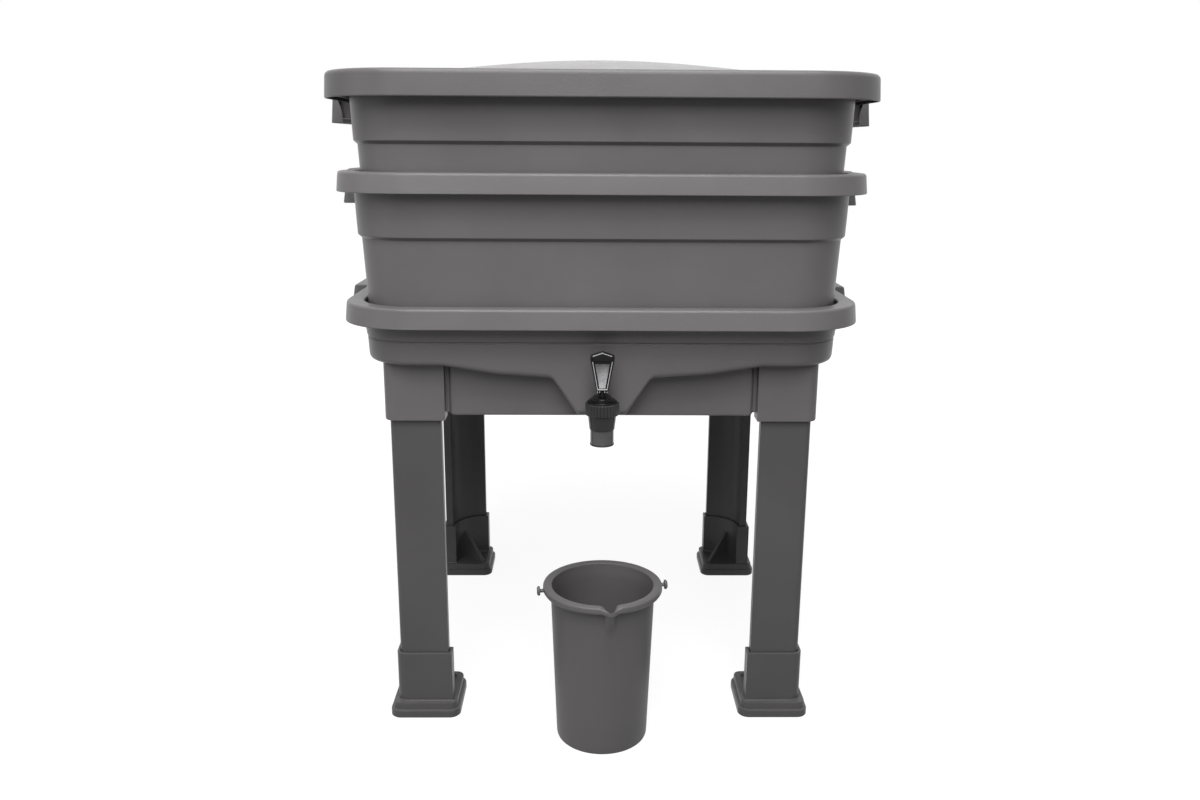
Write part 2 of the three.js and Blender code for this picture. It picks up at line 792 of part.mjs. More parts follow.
function tapNut() {
  const front = -bossFace + wall + washerThickness + 2 * touchGap;
  const hole = shankRadius + shankHoleClearance;
  const acrossCorners = nutFlats / Math.cos(Math.PI / 6);
  return barAlongY(acrossCorners / 2, front, front + nutThickness, 0, 6)
    .rotate([0, 30, 0])
    .translate([0, 0, shankHeight])
    .subtract(barAlongY(hole, front - overrun, front + nutThickness + overrun, shankHeight, roundSteps));
}

// A wedge with a triangular top that narrows to one point lower down on the bucket's wall.
function lipWedge(half, reach, top, drop) {
  const root = bucketTopRadius - spoutLipRoot;
  const geometry = new THREE.BufferGeometry();
  const points = [
    [-half, -root, top], [half, -root, top], [0, -bucketTopRadius - reach, top],
    [0, -bucketTopRadius + wall / 2, top - drop], [0, -root, top - drop],
  ];
  geometry.setAttribute('position', new THREE.Float32BufferAttribute(points.flat(), 3));
  geometry.setIndex([0, 2, 1, 0, 3, 2, 2, 3, 1, 0, 4, 3, 1, 3, 4, 0, 1, 4]);
  return solid(geometry);
}

function bucketKnob() {
  const level = bucketHeight - knobDrop;
  const neckEnd = bucketRimRadius + knobNeckLength;
  return barAlongY(knobNeckRadius, bucketTopRadius, neckEnd + knobHeadLength / 2, level)
    .add(barAlongY(knobHeadRadius, neckEnd, neckEnd + knobHeadLength, level))
    .rotate([0, 0, 90]);
}

function bucket() {
  const rimBottom = bucketHeight - bucketRimHeight;
  const outside = turned([
    [0, 0], [bucketBaseRadius - bucketFootRound, 0], [bucketBaseRadius - bucketFootRound / 4, bucketFootRound / 3],
    [bucketBaseRadius, bucketFootRound], [bucketTopRadius, rimBottom], [bucketRimRadius - bucketWall, rimBottom],
    [bucketRimRadius, rimBottom + bucketWall], [bucketRimRadius, bucketHeight - 2 * bucketWall],
    [bucketRimRadius - bucketWall, bucketHeight], [0, bucketHeight],
  ]);
  const lip = lipWedge(spoutLipHalf, bucketRimReach + spoutLipReach, bucketHeight, spoutLipHeight);
  const inside = turned([
    [0, bucketWall], [bucketBaseRadius - bucketFootRound, bucketWall],
    [bucketBaseRadius - bucketWall, bucketFootRound + bucketWall],
    [bucketTopRadius - bucketWall, rimBottom], [bucketTopRadius, bucketHeight],
    [bucketTopRadius, bucketHeight + overrun], [0, bucketHeight + overrun],
  ]);
  const notch = lipWedge(
    spoutLipHalf, bucketRimReach + spoutLipReach - bucketWall / 2,
    bucketHeight + touchGap, spoutNotchDepth,
  );
  return outside
    .add(lip)
    .subtract(inside)
    .subtract(notch)
    .add(mirroredPair(bucketKnob()))
    .rotate([0, 0, bucketYawDegrees])
    .translate([bucketAside, -bucketPlace, 0]);
}

// Materials
const plastic = { color: 0x5d5b5c, roughness: 0.55, metalness: 0 };
const tapPlastic = { color: 0x17181a, roughness: 0.2, metalness: 0 };
const rubber = { color: 0x1c1c1c, roughness: 0.9, metalness: 0 };
const steel = { color: 0xb8b8b4, roughness: 0.35, metalness: 1 };

const wormery = new THREE.Group();

function add(name, body, finish) {
  const mesh = new THREE.Mesh(toGeometry(body), new THREE.MeshStandardMaterial(finish));
  mesh.name = name;
  wormery.add(mesh);
}

add('lid', lid(), plastic);
add('upper_tray', tray(lowerTrayTop - trayNest), plastic);
add('lower_tray', tray(lowerTrayFloor), plastic);
add('collector_base', collectorBase(), plastic);
const corners = { rear_right: 0, rear_left: 90, front_left: 180, front_right: 270 };
for (const [corner, turn] of Object.entries(corners)) {
  add(`leg_${corner}`, leg().rotate([0, 0, turn]), plastic);
  add(`foot_${corner}`, foot().rotate([0, 0, turn]), plastic);
}
add('tap_body', tapBody(), tapPlastic);
add('tap_bonnet', tapBonnet(), tapPlastic);
add('tap_lever', tapLever(), tapPlastic);
add('tap_lever_pin', tapLeverPin(), steel);
add('tap_stem', tapStem(), tapPlastic);
add('tap_seat_cup', tapSeatCup(), rubber);
add('tap_front_washer', tapFrontWasher(), rubber);
add('tap_rear_washer', tapRearWasher(), rubber);
add('tap_nut', tapNut(), tapPlastic);
add('bucket', bucket(), plastic);

// The origin is in the middle of the floor area that the stack and its bucket cover.
const covered = new THREE.Box3().setFromObject(wormery);
const middle = covered.getCenter(new THREE.Vector3());
const placed = new THREE.Group();
placed.add(wormery);
wormery.position.set(-middle.x, -middle.y, -covered.min.z);

export default placed;
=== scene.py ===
"""The looks of a wormery: moulded lid, trays, collector base, legs and feet, a glossy tap and a bucket.

Sizes are in millimetres round the middle of the stack, and become metres when a piece is made.
"""

import math

import bmesh
import bpy
from mathutils import Matrix, Vector


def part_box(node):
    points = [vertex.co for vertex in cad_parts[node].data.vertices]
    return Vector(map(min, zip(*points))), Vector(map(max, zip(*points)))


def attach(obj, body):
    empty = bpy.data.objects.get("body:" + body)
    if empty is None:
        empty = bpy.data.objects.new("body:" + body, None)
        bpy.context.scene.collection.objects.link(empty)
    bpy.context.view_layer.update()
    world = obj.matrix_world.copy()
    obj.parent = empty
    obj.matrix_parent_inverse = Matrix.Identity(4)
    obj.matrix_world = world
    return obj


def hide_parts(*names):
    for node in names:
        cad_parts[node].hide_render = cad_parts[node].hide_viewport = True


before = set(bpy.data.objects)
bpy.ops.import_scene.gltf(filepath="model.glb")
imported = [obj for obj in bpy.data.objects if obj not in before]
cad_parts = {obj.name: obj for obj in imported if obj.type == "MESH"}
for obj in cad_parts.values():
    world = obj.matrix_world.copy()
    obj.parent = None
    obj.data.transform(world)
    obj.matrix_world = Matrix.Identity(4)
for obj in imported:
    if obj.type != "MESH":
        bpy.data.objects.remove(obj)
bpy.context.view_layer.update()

MILLIMETRE = 0.001
WALL = 3.0
REST_GAP = 0.3
ARC_STEPS = 3
CORNER_STEPS = 12
LEG_STEPS = 10
LONGEST_ROUNDING_SHARE = 0.48
SHARP_DEGREES = 38
MERGE_DISTANCE = 0.0002
GRAIN_STRENGTH = 0.35
RAMP_SHARES = (0.3, 0.7)
QUARTER_TURNS = (0, 90, 180, 270)

# The stack's middle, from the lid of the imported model
lid_low, lid_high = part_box("lid")
STACK_Y = (lid_low[1] + lid_high[1]) / 2

# Heights
FOOT_TOP = 76.0
PLATE_LEDGE_Z = 9.0
PLATE_TOP = 17.5
SOFFIT = 411.0
LEG_BOTTOM = 4.3
LEG_TOP = SOFFIT - REST_GAP
SLEEVE_BOTTOM = 348.0
SUMP_BOTTOM = 353.0
BASE_STEP_Z = 436.0
BASE_TOP = 474.0
LOWER_FLOOR = 453.0
TRAY_HEIGHT = 154.0
TRAY_NEST = 60.0
UPPER_FLOOR = LOWER_FLOOR + TRAY_HEIGHT - TRAY_NEST
LID_SEAT = UPPER_FLOOR + TRAY_HEIGHT + REST_GAP
SHANK_Z = 371.5
BONNET_BOTTOM = 368.5
BONNET_TOP = 386.0
LEVER_BOTTOM = 388.0
LEVER_NECK = 393.2
LEVER_TOP = 433.7
SPOUT_BOTTOM = 336.8

# Plan sizes: distances from the stack's middle, with the radii and thicknesses that go with them
RIM_CORNER = 80.0
RIM_FLARE = 1.7
BASE_RIM = 271.0
TRAY_RIM = 273.0
LID_RIM = 280.0
LEG_OUTER = 226.0
LEG_INNER = 171.0
LEG_ARM = 10.0
LEG_CORNER = 7.0
BOSS_FACE = 249.9
TAP_Y = -277.9


def fillet(points, closed=False, steps=ARC_STEPS):
    """Rounds the corners of a line of (across, up, radius) points and returns (across, up) points."""
    rounded = []
    count = len(points)
    for index, (across, up, radius) in enumerate(points):
        if radius == 0 or (not closed and index in (0, count - 1)):
            rounded.append((across, up))
            continue
        corner = Vector((across, up))
        before = Vector(points[index - 1][:2]) - corner
        after = Vector(points[(index + 1) % count][:2]) - corner
        turn = before.angle(after)
        reach = radius / math.tan(turn / 2)
        start = corner + before.normalized() * min(reach, before.length * LONGEST_ROUNDING_SHARE)
        end = corner + after.normalized() * min(reach, after.length * LONGEST_ROUNDING_SHARE)
        for step in range(steps + 1):
            share = step / steps
            first = start.lerp(corner, share)
            second = corner.lerp(end, share)
            rounded.append(tuple(first.lerp(second, share)))
    return rounded


def square_path(half, radius, sides=(), front=(), rear=()):
    """A round-cornered square, counterclockwise, with extra points on its sides, front and rear."""
    points = []
    reach = half - radius
    extras = (
        [(x, half) for x in sorted(rear, reverse=True)],
        [(-half, y) for y in sorted(sides, reverse=True)],
        [(x, -half) for x in sorted(front)],
        [(half, y) for y in sorted(sides)],
    )
    signs = ((1, 1), (-1, 1), (-1, -1), (1, -1))
    for corner, (sign_x, sign_y) in enumerate(signs):
        for step in range(CORNER_STEPS + 1):
            angle = (corner + step / CORNER_STEPS) * math.pi / 2
            across = sign_x * reach + radius * math.cos(angle)
            along = sign_y * reach + radius * math.sin(angle)
            points.append((across, along))
        points.extend(extras[corner])
    return points


def square_rings(rim_half, profile, height, **extras):
    """Rings of a shell whose corners stay concentric with its rim, at heights that a function settles."""
    rings = []
    for half, up in profile:
        path = square_path(half, RIM_CORNER - (rim_half - half), **extras)
        rings.append([(x, y, height(x, y, up)) for x, y in path])
    return rings


def loft(shape, rings, loop=False, caps=(False, False)):
    """Adds a skin through rings of equally many points."""
    made = [[shape.verts.new(point) for point in ring] for ring in rings]
    pairs = list(zip(made, made[1:]))
    if loop:
        pairs.append((made[-1], made[0]))
    for low, high in pairs:
        for index in range(len(low)):
            following = (index + 1) % len(low)
            shape.faces.new((low[index], low[following], high[following], high[index]))
    if caps[0]:
        shape.faces.new(list(reversed(made[0])))
    if caps[1]:
        shape.faces.new(made[-1])


def turned(shape, profile, steps=64, loop=False, middle=(0, 0)):
    """Adds a solid of revolution about a vertical axis from (radius, height) points."""
    angles = [2 * math.pi * step / steps for step in range(steps)]
    across, along = middle
    rings = []
    for radius, up in profile:
        ring = []
        for angle in angles:
            ring.append((across + radius * math.cos(angle), along + radius * math.sin(angle), up))
        rings.append(ring)
    loft(shape, rings, loop=loop, caps=(not loop, not loop))


def prism(outline, low, high, edge, segments=2):
    """A block of a flat outline in x and y with rounded edges, as a mesh of its own."""
    block = bmesh.new()
    loft(block, [[(x, y, low) for x, y in outline], [(x, y, high) for x, y in outline]], caps=(True, True))
    if edge:
        block.normal_update()
        sharp = [e for e in block.edges if e.calc_face_angle(0) > math.radians(SHARP_DEGREES)]
        bmesh.ops.bevel(
            block, geom=sharp, offset=edge, segments=segments, profile=0.5,
            affect="EDGES", clamp_overlap=True,
        )
    return block


def upright(block):
    """Turns a prism made in x and y so that its outline stands in x and z and it runs along y."""
    block.transform(Matrix.Rotation(math.pi / 2, 4, "X"))
    return block


def join(shape, block, turn=0):
    """Adds a block to a shape, turned about the vertical axis by so many degrees."""
    block.transform(Matrix.Rotation(math.radians(turn), 4, "Z"))
    copy = bpy.data.meshes.new("joined")
    block.to_mesh(copy)
    block.free()
    shape.from_mesh(copy)
    bpy.data.meshes.remove(copy)


def piece(name, shape, body, material, nodes=()):
    """Makes the object, in metres, that stands for the named CAD nodes and rides on a body."""
    bmesh.ops.remove_doubles(shape, verts=shape.verts, dist=MERGE_DISTANCE)
    bmesh.ops.dissolve_degenerate(shape, edges=shape.edges, dist=MERGE_DISTANCE)
    bmesh.ops.recalc_face_normals(shape, faces=shape.faces)
    shape.transform(Matrix.Translation((0, STACK_Y, 0)) @ Matrix.Scale(MILLIMETRE, 4))
    mesh = bpy.data.meshes.new(name)
    shape.to_mesh(mesh)
    shape.free()
    mesh.shade_smooth()
    mesh.set_sharp_from_angle(angle=math.radians(SHARP_DEGREES))
    mesh.materials.append(material)
    made = bpy.data.objects.new(name, mesh)
    bpy.context.scene.collection.objects.link(made)
    weighted = made.modifiers.new("even_shading", "WEIGHTED_NORMAL")
    weighted.keep_sharp = True
    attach(made, body)
    if nodes:
        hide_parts(*nodes)


def node_tree(name):
    """A new material with its node tree and its principled shader."""
    material = bpy.data.materials.new(name)
    material.use_nodes = True
    tree = material.node_tree
    return material, tree, tree.nodes["Principled BSDF"]


def noise(tree, source, scale, detail):
    """A noise texture over the object's own coordinates."""
    texture = tree.nodes.new("ShaderNodeTexNoise")
    texture.inputs["Scale"].default_value = scale
    texture.inputs["Detail"].default_value = detail
    tree.links.new(source.outputs["Object"], texture.inputs["Vector"])
    return texture


def blend_colour(tree, factor, dark, light):
    """A ramp between two colours driven by a texture's value."""
    ramp = tree.nodes.new("ShaderNodeValToRGB")
    for element, share, colour in zip(ramp.color_ramp.elements, RAMP_SHARES, (dark, light)):
        element.position = share
        element.color = (*colour, 1)
    tree.links.new(factor, ramp.inputs["Fac"])
    return ramp


def moulded(name, dark, light, rough, grain_depth, grain_scale=1400, cloud_scale=9, gleam=0.3, metal=0.0):
    """Moulded plastic: cloudy colour, a fine grain in the surface and uneven gloss."""
    material, tree, shader = node_tree(name)
    shader.inputs["Specular IOR Level"].default_value = gleam
    shader.inputs["Metallic"].default_value = metal
    place = tree.nodes.new("ShaderNodeTexCoord")
    cloud = noise(tree, place, scale=cloud_scale, detail=3)
    colour = blend_colour(tree, cloud.outputs["Fac"], dark, light)
    tree.links.new(colour.outputs["Color"], shader.inputs["Base Color"])
    smear = noise(tree, place, scale=4 * cloud_scale, detail=4)
    gloss = tree.nodes.new("ShaderNodeMapRange")
    gloss.inputs["To Min"].default_value = rough[0]
    gloss.inputs["To Max"].default_value = rough[1]
    tree.links.new(smear.outputs["Fac"], gloss.inputs["Value"])
    tree.links.new(gloss.outputs["Result"], shader.inputs["Roughness"])
    grain = noise(tree, place, scale=grain_scale, detail=2)
    bump = tree.nodes.new("ShaderNodeBump")
    bump.inputs["Strength"].default_value = GRAIN_STRENGTH
    bump.inputs["Distance"].default_value = grain_depth
    tree.links.new(grain.outputs["Fac"], bump.inputs["Height"])
    tree.links.new(bump.outputs["Normal"], shader.inputs["Normal"])
    return material


def paint_light_and_shade_by_height(material, low, high):
    """Paints light and shade: multiplies a material's colour by a factor that runs from the foot of its
    piece to the top.
    """
    tree = material.node_tree
    target = tree.nodes["Principled BSDF"].inputs["Base Color"]
    source = target.links[0].from_socket
    place = tree.nodes.new("ShaderNodeTexCoord")
    split = tree.nodes.new("ShaderNodeSeparateXYZ")
    tree.links.new(place.outputs["Generated"], split.inputs[0])
    level = tree.nodes.new("ShaderNodeMapRange")
    level.inputs["To Min"].default_value = low
    level.inputs["To Max"].default_value = high
    tree.links.new(split.outputs["Z"], level.inputs["Value"])
    product = tree.nodes.new("ShaderNodeVectorMath")
    product.operation = "SCALE"
    tree.links.new(source, product.inputs[0])
    tree.links.new(level.outputs["Result"], product.inputs["Scale"])
    tree.links.new(product.outputs["Vector"], target)


# Materials
BODY_ROUGHNESS = (0.28, 0.40)
LEG_ROUGHNESS = (0.30, 0.42)
BUCKET_ROUGHNESS = (0.44, 0.54)
LEVER_ROUGHNESS = (0.06, 0.14)
BARREL_ROUGHNESS = (0.14, 0.24)
WINDOW_ROUGHNESS = (0.16, 0.34)
PAINTED_HIGHLIGHT_ROUGHNESS = (0.20, 0.30)
RUBBER_ROUGHNESS = (0.65, 0.85)
STEEL_ROUGHNESS = (0.22, 0.35)
COARSE_GRAIN = 0.0004
MIDDLE_GRAIN = 0.0003
SLIGHT_GRAIN = 0.0002
FINE_GRAIN = 0.0001
FOIL_METAL = 0.85

body_plastic = moulded(
    "body_plastic", (0.122, 0.116, 0.118), (0.142, 0.136, 0.138), BODY_ROUGHNESS, COARSE_GRAIN, gleam=0.25,
)
# Painted shade: the lid takes a darker copy of the body plastic, so its front renders darker than the tray
# rims.
lid_plastic_painted_shade = moulded(
    "lid_plastic_painted_shade", (0.094, 0.090, 0.092), (0.110, 0.105, 0.107), BODY_ROUGHNESS, COARSE_GRAIN, gleam=0.25,
)
# Painted shade: the legs and feet take a darker copy of the body plastic, standing for the light that the
# base keeps off them.
leg_plastic_painted_shade = moulded(
    "leg_plastic_painted_shade", (0.078, 0.075, 0.076), (0.090, 0.087, 0.088), LEG_ROUGHNESS, COARSE_GRAIN, gleam=0.2,
)
bucket_plastic = moulded(
    "bucket_plastic", (0.100, 0.096, 0.098), (0.116, 0.111, 0.113), BUCKET_ROUGHNESS, MIDDLE_GRAIN,
)
tap_plastic = moulded(
    "tap_plastic", (0.004, 0.004, 0.0045), (0.007, 0.007, 0.0075), LEVER_ROUGHNESS, FINE_GRAIN,
    grain_scale=900, cloud_scale=40, gleam=0.15,
)
barrel_plastic = moulded(
    "barrel_plastic", (0.014, 0.014, 0.0145), (0.024, 0.024, 0.025), BARREL_ROUGHNESS, FINE_GRAIN,
    grain_scale=900, cloud_scale=40, gleam=0.25,
)
spout_plastic = moulded(
    "spout_plastic", (0.060, 0.059, 0.060), (0.085, 0.084, 0.086), BARREL_ROUGHNESS, FINE_GRAIN,
    grain_scale=900, cloud_scale=40,
)
window_plastic = moulded(
    "window_plastic", (0.26, 0.26, 0.265), (0.48, 0.48, 0.49), WINDOW_ROUGHNESS, COARSE_GRAIN,
    grain_scale=500, cloud_scale=120, metal=FOIL_METAL,
)
# The window is painted brighter at its foot and darker towards its top: painted light below, painted shade
# under the brow.
paint_light_and_shade_by_height(window_plastic, low=1.15, high=0.2)
# Painted highlight: a light metallic plastic for the strips that stand for reflections on the glossy black
# lever.
painted_highlight_plastic = moulded(
    "painted_highlight_plastic", (0.34, 0.34, 0.345), (0.40, 0.40, 0.41), PAINTED_HIGHLIGHT_ROUGHNESS, SLIGHT_GRAIN,
    grain_scale=500, cloud_scale=120, metal=FOIL_METAL,
)
rubber = moulded(
    "seal_rubber", (0.012, 0.012, 0.012), (0.022, 0.022, 0.022), RUBBER_ROUGHNESS, COARSE_GRAIN,
    grain_scale=1800, cloud_scale=30,
)
steel = moulded(
    "pin_steel", (0.50, 0.50, 0.49), (0.62, 0.62, 0.60), STEEL_ROUGHNESS, FINE_GRAIN,
    grain_scale=2200, cloud_scale=60, metal=1.0,
)


# Trays
GRIP_HALF = 82.0
GRIP_REACH = 18.0
GRIP_FLARE = 6.0
GRIP_DROP = 1.0
GRIP_DEPTH = 39.7
GRIP_CORNER = 7.0
GRIP_EDGE = 2.4
GRIP_LIP = 0.7
GRIP_SKIRT_GAP = 5.5
GRIP_END_MARGIN = 1.5
SKIRT_MARGIN = 0.4
GRIP_SIDES = (-GRIP_HALF + 0.3, -GRIP_HALF + 2.7, GRIP_HALF - 2.7, GRIP_HALF - 0.3)
RIB_THICKNESS = 4.0
RIB_SPACING = 110.0
RIB_REACH = 13.0
GRID_COUNT = 27
GRID_PITCH = 15.4
GRID_HOLE = 8.5
TRAY_WALL_TOP = 257.5
TRAY_STEP_TOP = 255.3
TRAY_STEP_LOW = 251.3
TRAY_FLOOR_HALF = 246.7
TRAY_STEP_DROP = 67.5
TRAY_STEP_HEIGHT = 3.5
TRAY_RIM_HEIGHT = 20.5
TRAY_LEDGE = 208.0


def add_grips(shape, rim_half, wall_half, top):
    """Adds the two hand grips that hang from a rim, open below, with filled ends."""
    upper = top - GRIP_DROP
    lower = top - GRIP_DEPTH
    root = wall_half - WALL / 2

    def ring(up, inset):
        share = (upper - up) / (upper - lower)
        reach = rim_half + GRIP_REACH + GRIP_FLARE * share - inset
        width = GRIP_HALF - inset
        corner = max(GRIP_CORNER - inset, 1.5)
        outline = [(root, -width, 0), (reach, -width, corner), (reach, width, corner), (root, width, 0)]
        return [(x, y, up) for x, y in fillet(outline, closed=True, steps=6)]

    rings = [
        ring(upper - WALL, WALL + 1),
        ring(upper - WALL - 1, WALL),
        ring(lower + GRIP_LIP, WALL),
        ring(lower, WALL - GRIP_LIP),
        ring(lower, GRIP_LIP),
        ring(lower + GRIP_LIP, 0),
        ring(upper - GRIP_EDGE, 0),
        ring(upper - GRIP_EDGE / 3, GRIP_EDGE / 4),
        ring(upper, GRIP_EDGE),
    ]
    for turn in (0, 180):
        grip = bmesh.new()
        loft(grip, rings, caps=(True, True))
        join(shape, grip, turn)


def open_for_grips(rim_half, top):
    """A height function that lifts the rim's skirt inside the hand grips, so that fingers can reach in."""
    def height(x, y, up):
        inside = abs(x) > rim_half - WALL - SKIRT_MARGIN and abs(y) < GRIP_HALF - GRIP_END_MARGIN
        return max(up, top - GRIP_SKIRT_GAP) if inside else up
    return height


def add_ribs(shape, outline):
    """Adds the ribs that the shell above rests on, three along each wall."""
    for turn in QUARTER_TURNS:
        for along in (-RIB_SPACING, 0, RIB_SPACING):
            rib = upright(prism(outline, -RIB_THICKNESS / 2, RIB_THICKNESS / 2, edge=0.9))
            rib.transform(Matrix.Translation((0, along, 0)))
            join(shape, rib, turn)


def add_grid(shape, low, high):
    """Adds a floor plate with square holes."""
    lines = []
    for place in range(GRID_COUNT):
        middle = (place - (GRID_COUNT - 1) / 2) * GRID_PITCH
        lines += [middle - GRID_HOLE / 2, middle + GRID_HOLE / 2]
    edge = lines[-1] + (GRID_PITCH - GRID_HOLE) / 2
    lines = [-edge, *lines, edge]
    count = len(lines)
    decks = [[[shape.verts.new((x, y, up)) for y in lines] for x in lines] for up in (low, high)]

    def solid(i, j):
        return 0 <= i < count - 1 and 0 <= j < count - 1 and not (i % 2 and j % 2)

    for i in range(-1, count - 1):
        for j in range(-1, count - 1):
            if solid(i, j):
                for deck in decks:
                    shape.faces.new((deck[i][j], deck[i + 1][j], deck[i + 1][j + 1], deck[i][j + 1]))
            if j >= 0 and solid(i, j) != solid(i + 1, j):
                a, b = (decks[0][i + 1][j], decks[0][i + 1][j + 1])
                c, d = (decks[1][i + 1][j + 1], decks[1][i + 1][j])
                shape.faces.new((a, b, c, d))
            if i >= 0 and solid(i, j) != solid(i, j + 1):
                a, b = (decks[0][i][j + 1], decks[0][i + 1][j + 1])
                c, d = (decks[1][i + 1][j + 1], decks[1][i][j + 1])
                shape.faces.new((a, b, c, d))


def make_tray(name, floor):
    """One worm tray with its rim, stepped wall, grips, ribs and perforated floor."""
    top = floor + TRAY_HEIGHT
    step = top - TRAY_STEP_DROP
    rim_bottom = top - TRAY_RIM_HEIGHT
    flared = TRAY_RIM + RIM_FLARE
    profile = fillet([
        (TRAY_LEDGE, floor, 0),
        (TRAY_FLOOR_HALF, floor, 3.5),
        (TRAY_STEP_LOW, step, 1.6),
        (TRAY_STEP_TOP, step + TRAY_STEP_HEIGHT, 1.4),
        (TRAY_WALL_TOP + 0.4, top - WALL, 2),
        (TRAY_RIM - WALL, top - WALL, 1),
        (flared - WALL, rim_bottom, 0.8),
        (flared, rim_bottom, 1),
        (TRAY_RIM - 0.4, top, 3.2),
        (TRAY_WALL_TOP - WALL, top, 2.2),
        (TRAY_STEP_TOP - WALL, step + 3 + WALL, 1.6),
        (TRAY_STEP_LOW - WALL, step + WALL, 1.6),
        (TRAY_FLOOR_HALF - WALL, floor + WALL, 3),
        (TRAY_LEDGE, floor + WALL, 0),
    ])
    shape = bmesh.new()
    rings = square_rings(TRAY_RIM, profile, open_for_grips(TRAY_RIM, top), sides=GRIP_SIDES)
    loft(shape, rings, loop=True)
    add_grips(shape, TRAY_RIM, TRAY_WALL_TOP, top)
    rib_foot = TRAY_STEP_LOW - WALL - RIB_REACH
    rib_root = TRAY_STEP_LOW - WALL / 2
    rib_top = top - TRAY_NEST - REST_GAP
    add_ribs(shape, [
        (rib_foot, floor + WALL / 2),
        (TRAY_FLOOR_HALF - WALL / 2, floor + WALL / 2),
        (rib_root, step),
        (rib_root, rib_top),
        (rib_foot, rib_top),
    ])
    add_grid(shape, floor + 0.2, floor + WALL - 0.2)
    piece(f"{name}_shell", shape, name, body_plastic, nodes=(name,))


make_tray("upper_tray", UPPER_FLOOR)
make_tray("lower_tray", LOWER_FLOOR)


# Lid
LID_WALL = 2.0
LID_MARGIN = 48.0
LID_CROWN = 26.0
LID_SKIRT = 23.8
LID_PLATE = LID_SEAT + LID_WALL
LID_REACH = LID_RIM - RIM_CORNER
COVER_HALF = 98.0
COVER_TOP = 298.0
COVER_FOOT = 301.6
COVER_BOTTOM = 655.8
COVER_CORNER = 6.0
COVER_ROOT = 277.0
COVER_EDGE = 7.0
COVER_ROUNDING = 8.0
SLAB_INSET = 6.8
SLAB_MARGIN = 1.2
SLAB_CORNER = 3.0
EAR_INNER = COVER_FOOT - 13.4
EAR_SHOULDER = COVER_BOTTOM + 4.2
EAR_ROUND = (9.5, 23.0)
ARCH_TOP = 687.0
COVER_SHARES = ((COVER_HALF - 1.6) / LID_REACH, (COVER_HALF - 1) / LID_REACH)
LID_SIDE_SHARES = (0.12, 0.25, 0.37, *COVER_SHARES, 0.6, 0.7, 0.8, 0.9)
CROWN_SHARES = (0.97, 0.93, 0.88, 0.82, 0.75, 0.67, 0.58, 0.49, 0.4, 0.31, 0.22, 0.13, 0.05)
CROWN_SOFTNESS = 0.7
LID_DRAFT = 1.5
LID_EDGE_RADIUS = 5.5
COVER_OPENING_MARGIN = 1.3


def cover_ring(up, reach, ear, thin=0.0):
    """One level of a cover: a thin skin along its outer side with a return at both ends."""
    half = COVER_HALF - thin
    outer = reach - thin
    inner = reach - LID_WALL + thin
    inner_half = COVER_HALF - LID_WALL + thin
    root = min(ear + thin, inner - 0.4)
    round_outer = COVER_CORNER - thin
    round_inner = COVER_CORNER - LID_WALL + thin
    outline = [
        (root, -half, 0), (outer, -half, round_outer), (outer, half, round_outer), (root, half, 0),
        (root, inner_half, 0), (inner, inner_half, round_inner), (inner, -inner_half, round_inner),
        (root, -inner_half, 0),
    ]
    return [(x, y, up) for x, y in fillet(outline, closed=True, steps=5)]


def add_covers(shape):
    """Adds the lid's two covers over the grips, whose ends are ears with an open arch beside them."""
    slope = (COVER_FOOT - COVER_TOP) / (LID_PLATE - COVER_EDGE - COVER_BOTTOM)

    def reach(up):
        return COVER_FOOT - slope * (up - COVER_BOTTOM)

    rings = [
        cover_ring(COVER_BOTTOM, reach(COVER_BOTTOM), EAR_INNER + 1.2, 0.5),
        cover_ring(COVER_BOTTOM + 0.6, reach(COVER_BOTTOM), EAR_INNER + 0.4),
        cover_ring(COVER_BOTTOM + 2, reach(COVER_BOTTOM + 2), EAR_INNER),
    ]
    for step in range(11):
        angle = step / 10 * math.pi / 2
        up = EAR_SHOULDER + EAR_ROUND[1] * math.sin(angle)
        rings.append(cover_ring(up, reach(up), EAR_INNER + EAR_ROUND[0] * (1 - math.cos(angle))))
    rings.append(cover_ring(ARCH_TOP, reach(ARCH_TOP), EAR_INNER + EAR_ROUND[0]))
    rings.append(cover_ring(ARCH_TOP + 0.1, reach(ARCH_TOP), COVER_ROOT))
    edge = fillet([
        (COVER_TOP, LID_PLATE - 12, 0),
        (COVER_TOP, LID_PLATE, COVER_ROUNDING),
        (COVER_TOP - 14, LID_PLATE, 0),
    ], steps=6)
    rings += [cover_ring(up, across, COVER_ROOT) for across, up in edge[1:-1]]

    root = LID_RIM - 16
    slab_end = COVER_TOP - SLAB_INSET
    slab_half = COVER_HALF - SLAB_MARGIN
    slab_path = fillet([
        (root, -slab_half, 0),
        (slab_end, -slab_half, SLAB_CORNER),
        (slab_end, slab_half, SLAB_CORNER),
        (root, slab_half, 0),
    ], closed=True, steps=4)
    slab_rings = [[(x, y, up) for x, y in slab_path] for up in (LID_SEAT, LID_PLATE - 0.02)]
    for turn in (0, 180):
        cover = bmesh.new()
        loft(cover, rings, caps=(True, True))
        join(shape, cover, turn)
        slab = bmesh.new()
        loft(slab, slab_rings, caps=(True, True))
        join(shape, slab, turn)


